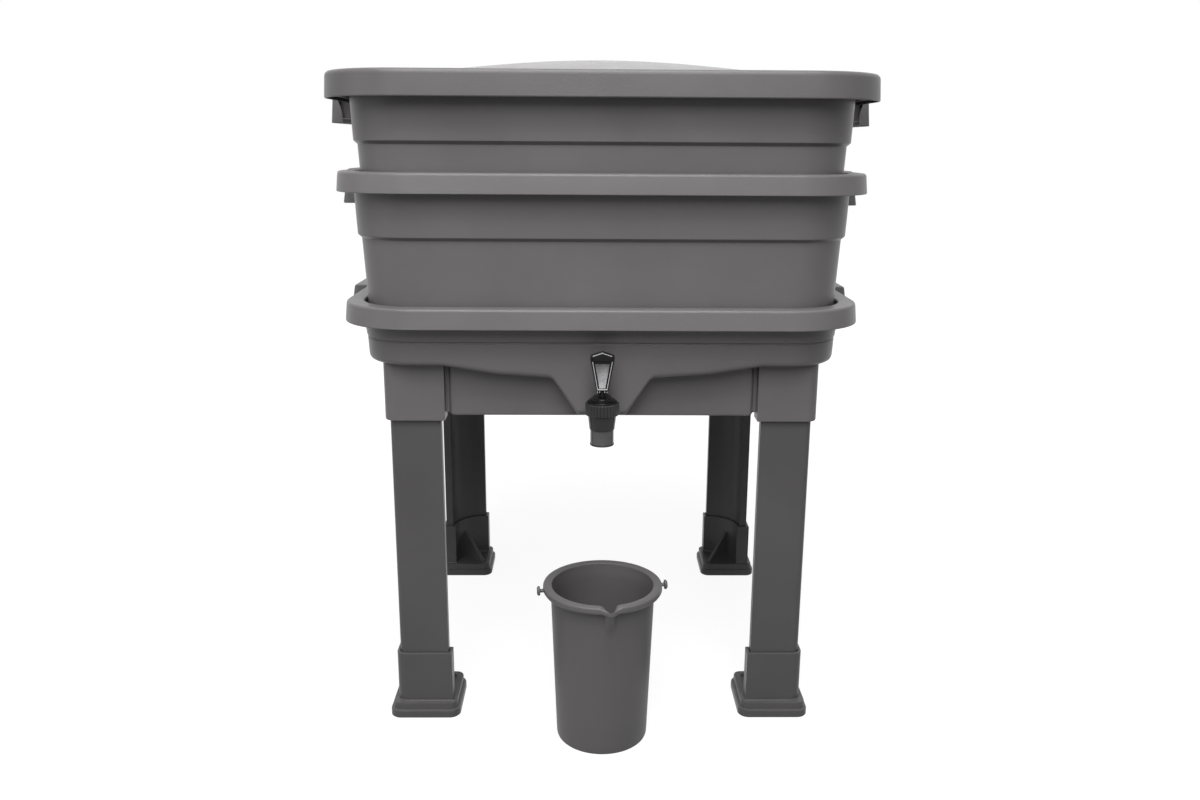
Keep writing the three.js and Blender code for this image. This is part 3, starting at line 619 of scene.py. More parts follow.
def make_lid():
    """The domed lid: a skirt round the top rim and a cover over each grip of the upper tray."""
    crown_half = LID_RIM - LID_MARGIN
    opening_top = LID_SEAT - 0.6
    shares = sorted([0, *LID_SIDE_SHARES, *(-share for share in LID_SIDE_SHARES)])

    def ring(half, radius, up):
        places = [share * (half - radius) for share in shares]
        path = square_path(half, radius, sides=places, front=places, rear=places)
        return [(x, y, up(x, y)) for x, y in path]

    def rim_ring(half, up):
        def height(x, y):
            over_grip = abs(x) > TRAY_RIM and abs(y) < COVER_HALF - COVER_OPENING_MARGIN
            return max(up, opening_top) if over_grip else up
        return ring(half, RIM_CORNER - (LID_RIM - half), height)

    def crown_ring(share, base):
        def height(x, y):
            dome = LID_CROWN * max(0, 1 - (x / crown_half) ** 2) * max(0, 1 - (y / crown_half) ** 2)
            return base + math.hypot(dome, CROWN_SOFTNESS) - CROWN_SOFTNESS
        round_share = 1 - share * (1 - (RIM_CORNER - LID_MARGIN) / crown_half)
        return ring(crown_half * share, crown_half * share * round_share, height)

    skirt = LID_SEAT - LID_SKIRT
    outside = fillet([
        (LID_RIM - 0.5, skirt, 0),
        (LID_RIM, skirt + 1, 0.5),
        (LID_RIM - LID_DRAFT, LID_PLATE, LID_EDGE_RADIUS),
        (crown_half, LID_PLATE, 0),
    ], steps=7)
    inside = fillet([
        (LID_RIM - LID_WALL + 0.5, skirt, 0),
        (LID_RIM - LID_WALL, skirt + 1, 0.5),
        (LID_RIM - LID_DRAFT - LID_WALL, LID_SEAT, 5),
        (crown_half, LID_SEAT, 0),
    ], steps=4)
    rings = [crown_ring(share, LID_SEAT) for share in reversed(CROWN_SHARES)]
    rings += [rim_ring(half, up) for half, up in reversed(inside)]
    rings += [rim_ring(half, up) for half, up in outside]
    rings += [crown_ring(share, LID_PLATE) for share in CROWN_SHARES]
    shape = bmesh.new()
    loft(shape, rings, caps=(True, True))
    add_covers(shape)
    piece("lid_shell", shape, "lid", lid_plastic_painted_shade, nodes=("lid",))


make_lid()


# Collector base
SUMP_HALF = 226.0
SUMP_NOTCH = 162.0
SUMP_CORNER = 5.0
SLEEVE_GROW = 5.0
LEG_CLEARANCE = 0.4
BAND_EDGE_Z = 418.0
BAND_TOP = 255.3
BAND_STEP_TOP = 251.1
BAND_STEP_LOW = 250.5
BAND_LOW = 249.3
BAND_ROLL = 7.0
BASE_RIM_HEIGHT = 21.0
SLEEVE_ROOT = 160.5
WEB_DEPTH = 5.0
SHOULDER = LEG_INNER - SLEEVE_GROW
BOSS_LINE = fillet([
    (-SHOULDER, 0, 0), (-110, 8.6, 20), (-52, 12.6, 9), (-25, 51.8, 6),
    (25, 51.8, 6), (52, 12.6, 9), (110, 8.6, 20), (SHOULDER, 0, 0),
], steps=5)


def boss_drop(x):
    """How far the base's lower edge drops at a place across the front, down to the tap's boss."""
    for (left, above), (right, below) in zip(BOSS_LINE, BOSS_LINE[1:]):
        if left <= x <= right:
            return above + (below - above) * (x - left) / (right - left)
    return 0


def front_drop(x, y, up):
    """Lowers the rolled lower edge along the front to make the boss."""
    at_front = y < 0 and abs(x) < SHOULDER and -y > SUMP_HALF - 2 * WALL
    return up - boss_drop(x) if at_front and up < BAND_EDGE_Z + WALL + 0.1 else up


def base_height(x, y, up):
    """The base's front drop and the room for fingers in its grips."""
    return open_for_grips(BASE_RIM, BASE_TOP)(x, y, front_drop(x, y, up))


def plus_path(half, notch, corner, columns):
    """The sump's plan, with extra points along its front."""
    corners = [
        (half, -notch), (half, notch), (notch, notch), (notch, half), (-notch, half), (-notch, notch),
        (-half, notch), (-half, -notch), (-notch, -notch), (-notch, -half), (notch, -half), (notch, -notch),
    ]
    path = fillet([(x, y, corner) for x, y in corners], closed=True)
    front = corners.index((-notch, -half)) + 1
    split = front * (ARC_STEPS + 1)
    return [*path[:split], *((x, -half) for x in columns), *path[split:]]


def leg_outline(grow):
    """Plan of a leg in the rear right corner: two flat faces and a hollow round inner side."""
    outer = LEG_OUTER + grow
    inner = LEG_INNER - grow
    corner = LEG_CORNER + grow
    hollow = LEG_OUTER - LEG_INNER - LEG_ARM - grow
    start = max(0, math.asin(-grow / hollow))
    points = [(outer, inner)]
    for step in range(LEG_STEPS + 1):
        angle = step / LEG_STEPS * math.pi / 2
        across = outer - corner + corner * math.cos(angle)
        along = outer - corner + corner * math.sin(angle)
        points.append((across, along))
    points.append((inner, outer))
    if grow > 0:
        points.append((inner, LEG_INNER + hollow))
    for step in range(LEG_STEPS + 1):
        angle = math.pi / 2 - start - step / LEG_STEPS * (math.pi / 2 - 2 * start)
        points.append((LEG_INNER + hollow * math.cos(angle), LEG_INNER + hollow * math.sin(angle)))
    if grow > 0:
        points.append((LEG_INNER + hollow, inner))
    return points


def add_tube(shape, stations, turn):
    """Adds a closed skin of a leg's section through (grow, height) stations."""
    tube = bmesh.new()
    loft(tube, [[(x, y, up) for x, y in leg_outline(grow)] for grow, up in stations], loop=True)
    join(shape, tube, turn)


def add_sump(shape, columns):
    """Adds the sump with its flat floor, its upper edge following the boss along the front."""
    level = SUMP_BOTTOM + WALL
    stations = (
        (3, SUMP_BOTTOM, False),
        (0.9, SUMP_BOTTOM + 0.9, False),
        (0, SUMP_BOTTOM + 3, False),
        (0, SOFFIT + WALL / 2, True),
        (WALL, SOFFIT + WALL / 2, True),
        (WALL, level + 3, False),
        (WALL + 0.9, level + 0.9, False),
        (WALL + 3, level, False),
    )
    rings = []
    for inset, up, follows in stations:
        path = plus_path(SUMP_HALF - inset, SUMP_NOTCH - inset, SUMP_CORNER, columns)
        rings.append([(x, y, front_drop(x, y, up) if follows else up) for x, y in path])
    sump = bmesh.new()
    loft(sump, rings, caps=(True, True))
    join(shape, sump)


def add_sleeve(shape, turn):
    """Adds one leg sleeve with its ceiling and the two webs that join it to the sump."""
    ceiling = [
        (SLEEVE_ROOT, SLEEVE_ROOT),
        (SUMP_HALF, SLEEVE_ROOT),
        (SUMP_HALF, SUMP_HALF),
        (SLEEVE_ROOT, SUMP_HALF),
    ]
    join(shape, prism(ceiling, SOFFIT + 0.2, SOFFIT + WALL - 0.2, edge=0), turn)
    web_start = SUMP_NOTCH - 1
    web_end = SHOULDER + 1
    web_front = SUMP_HALF - WEB_DEPTH
    web_rear = web_front - WALL
    web = [(web_start, web_rear), (web_end, web_rear), (web_end, web_front), (web_start, web_front)]
    mirrored = [(y, x) for x, y in reversed(web)]
    for outline in (web, mirrored):
        join(shape, prism(outline, SUMP_BOTTOM + WALL, SOFFIT + 1, edge=0), turn)
    add_tube(shape, [
        (SLEEVE_GROW - 1.4, SLEEVE_BOTTOM),
        (SLEEVE_GROW - 0.4, SLEEVE_BOTTOM + 0.4),
        (SLEEVE_GROW, SLEEVE_BOTTOM + 1.4),
        (SLEEVE_GROW, SOFFIT + 1),
        (LEG_CLEARANCE, SOFFIT + 1),
        (LEG_CLEARANCE, SLEEVE_BOTTOM + 0.8),
        (LEG_CLEARANCE + 0.6, SLEEVE_BOTTOM),
    ], turn)


def make_base():
    """The collector base with its rim, bands, boss, sump, leg sleeves and grips."""
    ledge = SUMP_HALF - 1.4
    rim_bottom = BASE_TOP - BASE_RIM_HEIGHT
    flared = BASE_RIM + RIM_FLARE
    profile = fillet([
        (ledge, SOFFIT, 0),
        (BAND_LOW, SOFFIT, BAND_ROLL),
        (BAND_STEP_LOW, BASE_STEP_Z - 1.4, 0.4),
        (BAND_STEP_LOW - 0.9, BASE_STEP_Z, 0.3),
        (BAND_STEP_TOP, BASE_STEP_Z + 1.5, 0.6),
        (BAND_TOP + 0.6, BASE_TOP - WALL, 2),
        (BASE_RIM - WALL, BASE_TOP - WALL, 1),
        (flared - WALL, rim_bottom, 0.8),
        (flared, rim_bottom, 1),
        (BASE_RIM - 0.4, BASE_TOP, 3.2),
        (BAND_TOP - WALL, BASE_TOP, 2.2),
        (BAND_STEP_LOW - WALL, BASE_STEP_Z, 2),
        (BAND_LOW - WALL, SOFFIT + WALL, BAND_ROLL),
        (ledge, SOFFIT + WALL, 0),
    ], steps=4)
    columns = [x for x, _ in BOSS_LINE]
    shape = bmesh.new()
    loft(shape, square_rings(BASE_RIM, profile, base_height, sides=GRIP_SIDES, front=columns), loop=True)
    add_grips(shape, BASE_RIM, BAND_TOP, BASE_TOP)
    add_sump(shape, [x for x in columns if abs(x) < SUMP_NOTCH - 4 * WALL])
    for turn in QUARTER_TURNS:
        add_sleeve(shape, turn)
    rib_foot = BAND_LOW - WALL - RIB_REACH
    rib_root = BAND_LOW - WALL / 2
    rib_top = LOWER_FLOOR - REST_GAP
    add_ribs(shape, [
        (rib_foot, SOFFIT + WALL / 2),
        (BAND_LOW - BAND_ROLL - WALL, SOFFIT + WALL / 2),
        (rib_root, SOFFIT + WALL + BAND_ROLL),
        (BAND_STEP_LOW - WALL / 2, rib_top),
        (rib_foot, rib_top),
    ])
    name = "collector_base"
    piece(f"{name}_shell", shape, "stand", body_plastic, nodes=(name,))


make_base()


# Legs and feet
CORNERS = {"rear_right": 0, "rear_left": 90, "front_left": 180, "front_right": 270}
FOOT_MIDDLE = (LEG_OUTER + LEG_INNER) / 2
FOOT_HALF = 39.5
FOOT_CORNER = 12.0
SOCKET_GROW = 3.8
LEG_SHELL = 2.5
GUSSET_HALF = 2.5
GUSSET_REACH = 45.0
GUSSET_DROP = 17.0


def make_leg(corner, turn):
    """A hollow leg with flat outer faces and a hollow round inner side."""
    shape = bmesh.new()
    add_tube(shape, [
        (-0.5, LEG_BOTTOM),
        (0, LEG_BOTTOM + 0.5),
        (0, LEG_TOP - 0.5),
        (-0.5, LEG_TOP),
        (-LEG_SHELL, LEG_TOP),
        (-LEG_SHELL, LEG_BOTTOM),
    ], turn)
    name = f"leg_{corner}"
    piece(f"{name}_profile", shape, "stand", leg_plastic_painted_shade, nodes=(name,))


def make_foot(corner, turn):
    """A foot: stepped plate, socket and the rib in its hollow side."""
    shape = bmesh.new()

    def ring(inset, up):
        half = FOOT_HALF - inset
        path = square_path(half, FOOT_CORNER - inset)
        return [(x + FOOT_MIDDLE, y + FOOT_MIDDLE, up) for x, y in path]

    plate = bmesh.new()
    loft(plate, [
        ring(0.8, 0),
        ring(0, 0.8),
        ring(0, PLATE_LEDGE_Z - 1.4),
        ring(0.4, PLATE_LEDGE_Z - 0.4),
        ring(1.4, PLATE_LEDGE_Z),
        ring(2.7, PLATE_LEDGE_Z + 0.2),
        ring(3, PLATE_LEDGE_Z + 0.7),
        ring(3, PLATE_TOP - 1.4),
        ring(3.4, PLATE_TOP - 0.4),
        ring(4.4, PLATE_TOP),
    ], caps=(True, True))
    join(shape, plate, turn)
    add_tube(shape, [
        (SOCKET_GROW + 1.6, PLATE_TOP - 0.5),
        (SOCKET_GROW + 0.4, PLATE_TOP + 0.4),
        (SOCKET_GROW, PLATE_TOP + 1.8),
        (SOCKET_GROW, FOOT_TOP - 1),
        (SOCKET_GROW - 0.3, FOOT_TOP - 0.3),
        (SOCKET_GROW - 1, FOOT_TOP),
        (LEG_CLEARANCE + 0.8, FOOT_TOP),
        (LEG_CLEARANCE, FOOT_TOP - 0.8),
        (LEG_CLEARANCE, PLATE_TOP - 0.5),
    ], turn)
    hollow = LEG_INNER * math.sqrt(2) + LEG_OUTER - LEG_INNER - LEG_ARM
    tip = hollow - GUSSET_REACH
    gusset_top = FOOT_TOP - GUSSET_DROP
    outline = [
        (tip, PLATE_TOP - 1), (hollow + 4, PLATE_TOP - 1), (hollow + 4, gusset_top),
        (hollow - 1, gusset_top), (tip, PLATE_TOP + 1.5),
    ]
    join(shape, upright(prism(outline, -GUSSET_HALF, GUSSET_HALF, edge=0.9)), turn + 45)
    name = f"foot_{corner}"
    piece(f"{name}_moulding", shape, "stand", leg_plastic_painted_shade, nodes=(name,))


for corner_name, corner_turn in CORNERS.items():
    make_leg(corner_name, corner_turn)
    make_foot(corner_name, corner_turn)


# Tap
TAP_MIDDLE = (0, TAP_Y)
TAP_BORE = 9.5
CONE_BORE = 8.0
CONE_FOOT = 353.0
CONE_TOP = BONNET_BOTTOM - 0.3
SPOUT_RADIUS = 11.9
SPOUT_TOP = 355.0
LIP_BORE = 9.7
LIP_RADIUS = 12.3
LIP_TOP = SPOUT_BOTTOM + 1.6
SHANK_BORE = 3.0
SHANK_RADIUS = 6.0
SHANK_START = 10.0
SHANK_END = 61.0
FLANGE_BORE = 5.0
FLANGE_RADIUS = 13.8
FLANGE_THICKNESS = 3.0
FLANGE_FRONT = -BOSS_FACE - 5.6
BONNET_RADIUS = 17.2
BAND_INNER = 13.6
KNURL_TOP = 381.0
DOME_INNER = 13.2
DOME_RADIUS = 15.5
DOME_BOTTOM = 380.0
STEM_ROOM = 3.7
KNURLS = 30
KNURL_DEPTH = 0.8
KNURL_SHARPNESS = 0.7
BONNET_STEPS = 240
LEVER_EAR_INNER = 2.9
LEVER_EAR_OUTER = 4.6
LEVER_EAR_TOP = 395.6
WINDOW_ROWS = 12
WINDOW_COLUMNS = 10
WINDOW_HEIGHT = 24.4
WINDOW_FOOT_HALF = 3.0
WINDOW_WIDENING = 4.4
WINDOW_CURL = 1.1
WINDOW_BOW = 0.5
WINDOW_DEPTH = 2.3


def along_y(block, height, front):
    """Turns a solid made about the vertical axis so that it runs back from a front place."""
    block.transform(Matrix.Rotation(-math.pi / 2, 4, "X"))
    block.transform(Matrix.Translation((0, front, height)))
    return block


def make_tap_body():
    """The tap's cone with the shank and flange that hold it to the base, and the spout with its lip."""
    shape = bmesh.new()
    turned(shape, fillet([
        (TAP_BORE, CONE_FOOT, 0),
        (12.7, CONE_FOOT, 0.8),
        (14.4, CONE_TOP, 0.8),
        (CONE_BORE, CONE_TOP, 0),
        (CONE_BORE, 359, 0),
        (TAP_BORE, 356, 0),
    ], closed=True), loop=True, middle=TAP_MIDDLE)
    shank = bmesh.new()
    turned(shank, fillet([
        (SHANK_BORE, SHANK_START, 0),
        (SHANK_RADIUS, SHANK_START, 0.5),
        (SHANK_RADIUS, SHANK_END, 0.8),
        (SHANK_BORE, SHANK_END, 0),
    ], closed=True), steps=40, loop=True)
    join(shape, along_y(shank, SHANK_Z, TAP_Y))
    flange = bmesh.new()
    turned(flange, fillet([
        (FLANGE_BORE, 0, 0),
        (FLANGE_RADIUS, 0, 1),
        (FLANGE_RADIUS, FLANGE_THICKNESS, 0.5),
        (FLANGE_BORE, FLANGE_THICKNESS, 0),
    ], closed=True), steps=56, loop=True)
    join(shape, along_y(flange, SHANK_Z, FLANGE_FRONT))
    lip = bmesh.new()
    turned(lip, fillet([
        (LIP_BORE, SPOUT_BOTTOM, 0.4),
        (LIP_RADIUS, SPOUT_BOTTOM, 0.5),
        (LIP_RADIUS, LIP_TOP, 0.3),
        (LIP_BORE, LIP_TOP, 0),
    ], closed=True), loop=True, middle=TAP_MIDDLE)
    join(shape, lip)
    piece("tap_barrel", shape, "stand", barrel_plastic, nodes=("tap_body",))
    spout = bmesh.new()
    turned(spout, fillet([
        (TAP_BORE, SPOUT_BOTTOM + 1.4, 0),
        (SPOUT_RADIUS, SPOUT_BOTTOM + 1.4, 0.3),
        (SPOUT_RADIUS, SPOUT_TOP, 0),
        (TAP_BORE, SPOUT_TOP, 0),
    ], closed=True), loop=True, middle=TAP_MIDDLE)
    piece("tap_spout", spout, "stand", spout_plastic)


def make_bonnet():
    """The bonnet: a knurled band under a glossy dome, with the dome in the darker lever plastic as painted
    shade on its top.
    """
    dome = bmesh.new()
    turned(dome, fillet([
        (DOME_INNER, DOME_BOTTOM, 0),
        (DOME_RADIUS, DOME_BOTTOM, 0),
        (DOME_RADIUS, 382.4, 0.8),
        (12.4, 384.6, 2),
        (9.6, 385.2, 0.4),
        (9.2, BONNET_TOP, 0.5),
        (STEM_ROOM, BONNET_TOP, 0),
        (STEM_ROOM, 383, 0),
        (DOME_INNER, 383, 0),
    ], closed=True), loop=True, middle=TAP_MIDDLE)
    # Painted shade: the dome takes the darker lever plastic rather than the band's.
    piece("tap_bonnet_dome_painted_shade", dome, "stand", tap_plastic)
    profile = fillet([
        (BAND_INNER, BONNET_BOTTOM, 0),
        (BONNET_RADIUS, BONNET_BOTTOM, 1),
        (BONNET_RADIUS, 380.5, 0.9),
        (15.6, KNURL_TOP, 0.3),
        (BAND_INNER, KNURL_TOP, 0),
    ], closed=True)
    rings = []
    for radius, up in profile:
        ring = []
        for step in range(BONNET_STEPS):
            angle = 2 * math.pi * step / BONNET_STEPS
            ridge = abs(math.sin(KNURLS * angle / 2)) ** KNURL_SHARPNESS
            cut = KNURL_DEPTH * (1 - ridge) if radius > BONNET_RADIUS - 1 else 0
            reach = radius - cut
            ring.append((reach * math.cos(angle), TAP_Y + reach * math.sin(angle), up))
        rings.append(ring)
    shape = bmesh.new()
    loft(shape, rings, loop=True)
    piece("tap_bonnet_band", shape, "stand", barrel_plastic, nodes=("tap_bonnet",))


def inset(outline, depth):
    """Moves the sides of an outline inwards; the outline runs counterclockwise."""
    moved = []
    for index, (x, y, radius) in enumerate(outline):
        place = Vector((x, y))
        before = (place - Vector(outline[index - 1][:2])).normalized()
        after = (Vector(outline[(index + 1) % len(outline)][:2]) - place).normalized()
        first = Vector((-before.y, before.x))
        second = Vector((-after.y, after.x))
        shift = (first + second) / (1 + first.dot(second)) * depth
        moved.append((x + shift.x, y + shift.y, max(radius - depth, 0.5)))
    return moved


def stand_up(block):
    """Stands a block made in x and y upright at the tap, its own height becoming its place along y."""
    block.transform(Matrix(((1, 0, 0, 0), (0, 0, 1, TAP_Y), (0, 1, 0, 0), (0, 0, 0, 1))))
    return block


def strip(path, half=0.42, low=-3.7, high=-3.2):
    """A narrow raised line along a path of (across, up) points, for the painted highlights on the lever."""
    sides = ([], [])
    for index, point in enumerate(path):
        place = Vector(point)
        before = (place - Vector(path[max(index - 1, 0)])).normalized()
        after = (Vector(path[min(index + 1, len(path) - 1)]) - place).normalized()
        along = (before + after).normalized()
        reach = half / max(along.dot(after if index == 0 else before), 0.3)
        across = Vector((-along.y, along.x)) * reach
        sides[0].append(tuple(place - across))
        sides[1].append(tuple(place + across))
    return prism([*sides[0], *reversed(sides[1])], low, high, edge=0.15)


def make_lever():
    """The lever's paddle: a ridge round a sunk face under a thick brow, on a forked foot."""
    half = 12.3
    paddle = [
        (-6, LEVER_NECK, 1),
        (6, LEVER_NECK, 1),
        (half, LEVER_TOP - 8.4, 3),
        (half, LEVER_TOP - 4.2, 2.2),
        (0, LEVER_TOP, 3),
        (-half, LEVER_TOP - 4.2, 2.2),
        (-half, LEVER_TOP - 8.4, 3),
    ]
    section = (
        (1, 3.5), (0.3, 3.2), (0, 2.5), (0, -2.2), (0.4, -2.9),
        (1.3, -3.4), (1.8, -3.5), (2.2, -3.3), (2.5, -2.4), (2.9, -1.4),
    )
    rings = []
    for depth, out in section:
        rings.append([(x, up, out) for x, up in fillet(inset(paddle, depth), closed=True, steps=4)])
    shape = bmesh.new()
    loft(shape, rings, caps=(True, True))
    brow = [
        (-9.6, LEVER_TOP - 9.8, 1.5),
        (9.6, LEVER_TOP - 9.8, 1.5),
        (10.6, LEVER_TOP - 5.4, 2),
        (0, LEVER_TOP - 1.8, 2.5),
        (-10.6, LEVER_TOP - 5.4, 2),
    ]
    join(shape, prism(fillet(brow, closed=True, steps=3), -3.3, 0, edge=0.9, segments=3))
    for left, right in ((-LEVER_EAR_OUTER, -LEVER_EAR_INNER), (LEVER_EAR_INNER, LEVER_EAR_OUTER)):
        ear = [(left, LEVER_BOTTOM), (right, LEVER_BOTTOM), (right, LEVER_EAR_TOP), (left, LEVER_EAR_TOP)]
        join(shape, prism(ear, -3.3, 3.3, edge=0.5))
    piece("tap_lever_paddle", stand_up(shape), "tap_lever", tap_plastic, nodes=("tap_lever",))


def make_lever_window():
    """The silvery window, a thin bowed sheet that curls forward at its foot."""
    window = bmesh.new()
    rows = []
    for step in range(WINDOW_ROWS + 1):
        share = step / WINDOW_ROWS
        up = LEVER_NECK + 3.4 + share * WINDOW_HEIGHT
        half = WINDOW_FOOT_HALF + share * WINDOW_WIDENING
        curl = WINDOW_CURL * (1 - share) ** 3
        row = []
        for column in range(WINDOW_COLUMNS + 1):
            aside = 2 * column / WINDOW_COLUMNS - 1
            out = -WINDOW_DEPTH - curl + WINDOW_BOW * (1 - aside ** 2)
            row.append(window.verts.new((half * aside, up, out)))
        rows.append(row)
    for low, high in zip(rows, rows[1:]):
        for column in range(WINDOW_COLUMNS):
            window.faces.new((low[column], low[column + 1], high[column + 1], high[column]))
    bmesh.ops.solidify(window, geom=window.faces[:], thickness=0.4)
    piece("tap_lever_window", stand_up(window), "tap_lever", window_plastic)


def make_lever_painted_highlights():
    """Painted highlights: light metallic strips round the window, along the brow and across the neck,
    standing for reflections on the glossy lever.
    """
    neck = LEVER_NECK + 1.6
    shoulder = LEVER_TOP - 10
    brow_end = LEVER_TOP - 4.6
    edges = strip([(-9.9, shoulder), (-4.7, neck), (4.7, neck), (9.9, shoulder)])
    join(edges, strip([(-9.6, brow_end), (0, LEVER_TOP - 1.4), (9.6, brow_end)]))
    join(edges, strip([(-4.2, LEVER_NECK + 2), (4.2, LEVER_NECK + 2)], half=0.8, low=-3.9, high=-3.3))
    piece("tap_lever_painted_highlights", stand_up(edges), "tap_lever", painted_highlight_plastic)


make_tap_body()
make_bonnet()
make_lever()
make_lever_window()
make_lever_painted_highlights()

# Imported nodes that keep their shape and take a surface
KEPT_NODES = {
    "tap_stem": tap_plastic,
    "tap_nut": tap_plastic,
    "tap_seat_cup": rubber,
    "tap_front_washer": rubber,
    "tap_rear_washer": rubber,
    "tap_lever_pin": steel,
}
for node_name, node_material in KEPT_NODES.items():
    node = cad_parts[node_name]
    for material_slot in node.material_slots:
        material_slot.material = node_material


# Bucket
BUCKET_PLACE = (2.0, -262.0, 0.0)
BUCKET_YAW = 7.0
BUCKET_TOP = 177.3
BUCKET_RIM = 64.1
BUCKET_MOUTH = 55.8
BUCKET_FOOT = 49.9
NOTCH_HALF = 11.0
NOTCH_DEPTH = 4.6
TONGUE_HALF = 7.6
TONGUE_DROP = 31.0
TONGUE_REACH = 66.4
TONGUE_EASE = 0.8
LIP_DEGREE = 270
RIM_ARC_RADIUS = 60.0
NOTCH_FADE = 6.0
BUCKET_SHELL = 2.2
BUCKET_DRAFT = 0.037
BUCKET_RIM_HEIGHT = 9.0
BUCKET_LEVELS = (20, 60, 100, 140, 150, 155, 160, 164)
KNOB_DROP = 6.0


def bucket_point(radius, up, degree):
    """A point of the bucket's skin, with the pouring notch in its rim and the tongue below it."""
    aside = abs(math.radians(degree - LIP_DEGREE)) * RIM_ARC_RADIUS
    near = min(1, max(0, (up - BUCKET_TOP + TONGUE_DROP) / (TONGUE_DROP - BUCKET_RIM_HEIGHT)))
    bulge = max(0, 1 - (aside / TONGUE_HALF) ** 2)
    outward = TONGUE_REACH if radius > BUCKET_MOUTH - 1 else TONGUE_REACH - BUCKET_SHELL
    reach = radius + max(0, outward - radius) * bulge * near ** TONGUE_EASE
    share = max(0, 1 - aside / NOTCH_HALF)
    fade = min(1, max(0, (up - BUCKET_TOP + BUCKET_RIM_HEIGHT) / NOTCH_FADE))
    sink = NOTCH_DEPTH * share * fade
    angle = math.radians(degree)
    return (reach * math.cos(angle), reach * math.sin(angle), up - sink)


def make_bucket():
    """The bucket with its rolled rim, pouring lip and two bail knobs."""
    rim_low = BUCKET_TOP - BUCKET_RIM_HEIGHT
    outer_wall = [(BUCKET_MOUTH - (rim_low - up) * BUCKET_DRAFT, up, 0) for up in BUCKET_LEVELS]
    inner_wall = [(across - BUCKET_SHELL, up, 0) for across, up, _ in reversed(outer_wall)]
    profile = fillet([
        (30, 1.2, 0),
        (44, 1.2, 1),
        (45, 0, 0.5),
        (BUCKET_FOOT - 0.4, 0, 4),
        (BUCKET_FOOT, 8, 6),
        *outer_wall,
        (BUCKET_MOUTH, rim_low, 1),
        (BUCKET_RIM - 1.6, rim_low + 0.6, 1.6),
        (BUCKET_RIM, rim_low + 3, 1.5),
        (BUCKET_RIM - 0.2, BUCKET_TOP - 1, 2.6),
        (BUCKET_RIM - 3.4, BUCKET_TOP, 2),
        (BUCKET_MOUTH - 1.2, BUCKET_TOP - 1.2, 1.2),
        (BUCKET_MOUTH - 1.7, rim_low + 1, 2),
        *inner_wall,
        (BUCKET_FOOT - 2.1, 3, 7),
        (30, 2.4, 0),
    ], steps=4)
    degrees = sorted({*range(0, 360, 3), *(LIP_DEGREE + 0.6 * step for step in range(-25, 26))})
    rings = [[bucket_point(radius, up, degree) for degree in degrees] for radius, up in profile]
    shape = bmesh.new()
    loft(shape, rings, caps=(True, True))
    for side in (0, 180):
        knob = bmesh.new()
        turned(knob, fillet([
            (0.5, 55, 0),
            (2, 55, 0),
            (2, 67.4, 0.6),
            (5, 67.6, 0.6),
            (5.2, 69.2, 0.6),
            (4, 70.6, 0.8),
            (0.5, 70.7, 0),
        ]), steps=28)
        knob.transform(Matrix.Rotation(math.pi / 2, 4, "Y"))
        knob.transform(Matrix.Translation((0, 0, BUCKET_TOP - KNOB_DROP)))
        join(shape, knob, side)
    shape.transform(Matrix.Translation(BUCKET_PLACE) @ Matrix.Rotation(math.radians(BUCKET_YAW), 4, "Z"))
    piece("bucket_shell", shape, "bucket", bucket_plastic, nodes=("bucket",))


make_bucket()


# Floor, lights, world and camera, all in metres
FLOOR_SIZE = 14
FLOOR_TONE = 0.14
FLOOR_ROUGHNESS = 0.9
FLOOR_GLOW = 0.9
GLOW_START = 0.6
GLOW_END = 1.6
WORLD_LEVEL = 0.08
CAMERA_PLACE = (-0.0160, -1.2831 + STACK_Y, 0.6345)
CAMERA_PAN = 0.0137
CAMERA_TILT = math.radians(14.02)
CAMERA_ROLL = -0.0062
CAMERA_LENS = 30.725
CAMERA_SENSOR = 36


def looked_at(tree):
    """A value that is 1 for camera and glossy rays, which see plain white, and else 0."""
    path = tree.nodes.new("ShaderNodeLightPath")
    seen = tree.nodes.new("ShaderNodeMath")
    seen.operation = "MAXIMUM"
    tree.links.new(path.outputs["Is Camera Ray"], seen.inputs[0])
    tree.links.new(path.outputs["Is Glossy Ray"], seen.inputs[1])
    return seen.outputs["Value"]


def make_floor():
    """A plain pale floor that looks white and keeps the object's shadow."""
    material, tree, shader = node_tree("pale_floor")
    shader.inputs["Base Color"].default_value = (FLOOR_TONE, FLOOR_TONE, FLOOR_TONE, 1)
    shader.inputs["Roughness"].default_value = FLOOR_ROUGHNESS
    place = tree.nodes.new("ShaderNodeTexCoord")
    distance = tree.nodes.new("ShaderNodeVectorMath")
    distance.operation = "LENGTH"
    tree.links.new(place.outputs["Object"], distance.inputs[0])
    level = tree.nodes.new("ShaderNodeMapRange")
    level.interpolation_type = "SMOOTHSTEP"
    level.inputs["From Min"].default_value = GLOW_START
    level.inputs["From Max"].default_value = GLOW_END
    level.inputs["To Min"].default_value = FLOOR_GLOW
    level.inputs["To Max"].default_value = 1.0
    tree.links.new(distance.outputs["Value"], level.inputs["Value"])
    strength = tree.nodes.new("ShaderNodeMath")
    strength.operation = "MULTIPLY"
    tree.links.new(looked_at(tree), strength.inputs[0])
    tree.links.new(level.outputs["Result"], strength.inputs[1])
    glow = tree.nodes.new("ShaderNodeEmission")
    tree.links.new(strength.outputs["Value"], glow.inputs["Strength"])
    total = tree.nodes.new("ShaderNodeAddShader")
    tree.links.new(shader.outputs["BSDF"], total.inputs[0])
    tree.links.new(glow.outputs["Emission"], total.inputs[1])
    tree.links.new(total.outputs["Shader"], tree.nodes["Material Output"].inputs["Surface"])
    bpy.ops.mesh.primitive_plane_add(size=FLOOR_SIZE, location=(0, 0, 0))
    floor = bpy.context.object
    floor.name = "floor"
    floor.data.materials.append(material)


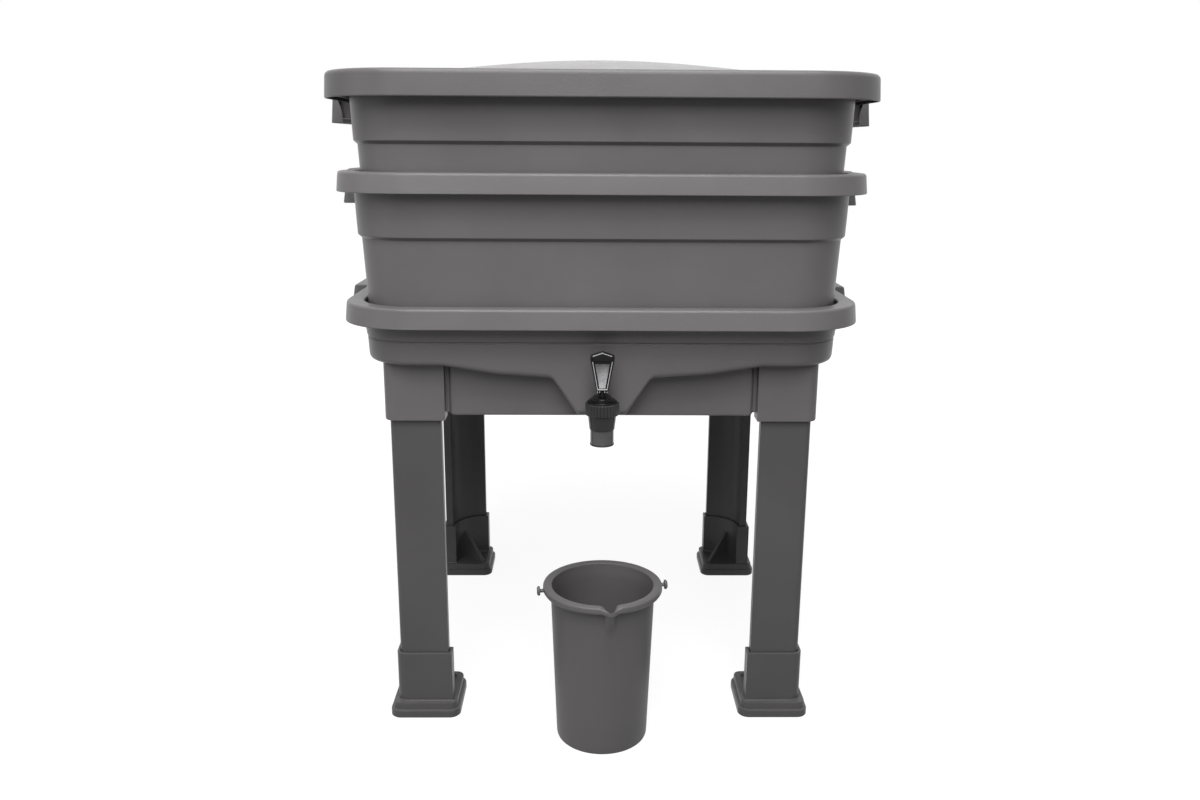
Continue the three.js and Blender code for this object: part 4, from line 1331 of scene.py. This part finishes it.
def add_lamp(name, place, target, size, power):
    """A soft square lamp that looks at a point."""
    data = bpy.data.lights.new(name, "AREA")
    data.shape = "SQUARE"
    data.size = size
    data.energy = power
    lamp = bpy.data.objects.new(name, data)
    lamp.location = place
    lamp.rotation_euler = (Vector(target) - Vector(place)).to_track_quat("-Z", "Y").to_euler()
    bpy.context.scene.collection.objects.link(lamp)


def make_world():
    """A soft surrounding light that looks white to the camera and in reflections."""
    world = bpy.data.worlds.new("studio")
    bpy.context.scene.world = world
    world.use_nodes = True
    tree = world.node_tree
    background = tree.nodes["Background"]
    background.inputs["Color"].default_value = (1, 1, 1, 1)
    level = tree.nodes.new("ShaderNodeMapRange")
    level.inputs["To Min"].default_value = WORLD_LEVEL
    level.inputs["To Max"].default_value = 1.0
    tree.links.new(looked_at(tree), level.inputs["Value"])
    tree.links.new(level.outputs["Result"], background.inputs["Strength"])


def make_camera():
    """The photograph's viewpoint."""
    forward = Vector((
        math.sin(CAMERA_PAN) * math.cos(CAMERA_TILT),
        math.cos(CAMERA_PAN) * math.cos(CAMERA_TILT),
        -math.sin(CAMERA_TILT),
    ))
    level = Vector((math.cos(CAMERA_PAN), -math.sin(CAMERA_PAN), 0))
    down = forward.cross(level)
    right = math.cos(CAMERA_ROLL) * level + math.sin(CAMERA_ROLL) * down
    down = math.cos(CAMERA_ROLL) * down - math.sin(CAMERA_ROLL) * level
    data = bpy.data.cameras.new("camera")
    data.lens = CAMERA_LENS
    data.sensor_width = CAMERA_SENSOR
    camera = bpy.data.objects.new("camera", data)
    turn = Matrix((right, -down, -forward)).transposed().to_4x4()
    camera.matrix_world = Matrix.Translation(CAMERA_PLACE) @ turn
    bpy.context.scene.collection.objects.link(camera)
    bpy.context.scene.camera = camera


make_floor()
make_world()
make_camera()
add_lamp("overhead", place=(-0.1, -0.76, 2.3), target=(0, 0, 0.5), size=1.4, power=50)
add_lamp("front", place=(-0.1, -1.6, 1.6), target=(0, 0, 0.6), size=1.2, power=25)
add_lamp("left", place=(-2.2, -1.2, 1.0), target=(0, 0, 0.5), size=1.5, power=7)
add_lamp("behind", place=(0, 2.6, 2.2), target=(0, 0, 0.7), size=1.6, power=7)
bpy.context.scene.view_settings.view_transform = "Standard"
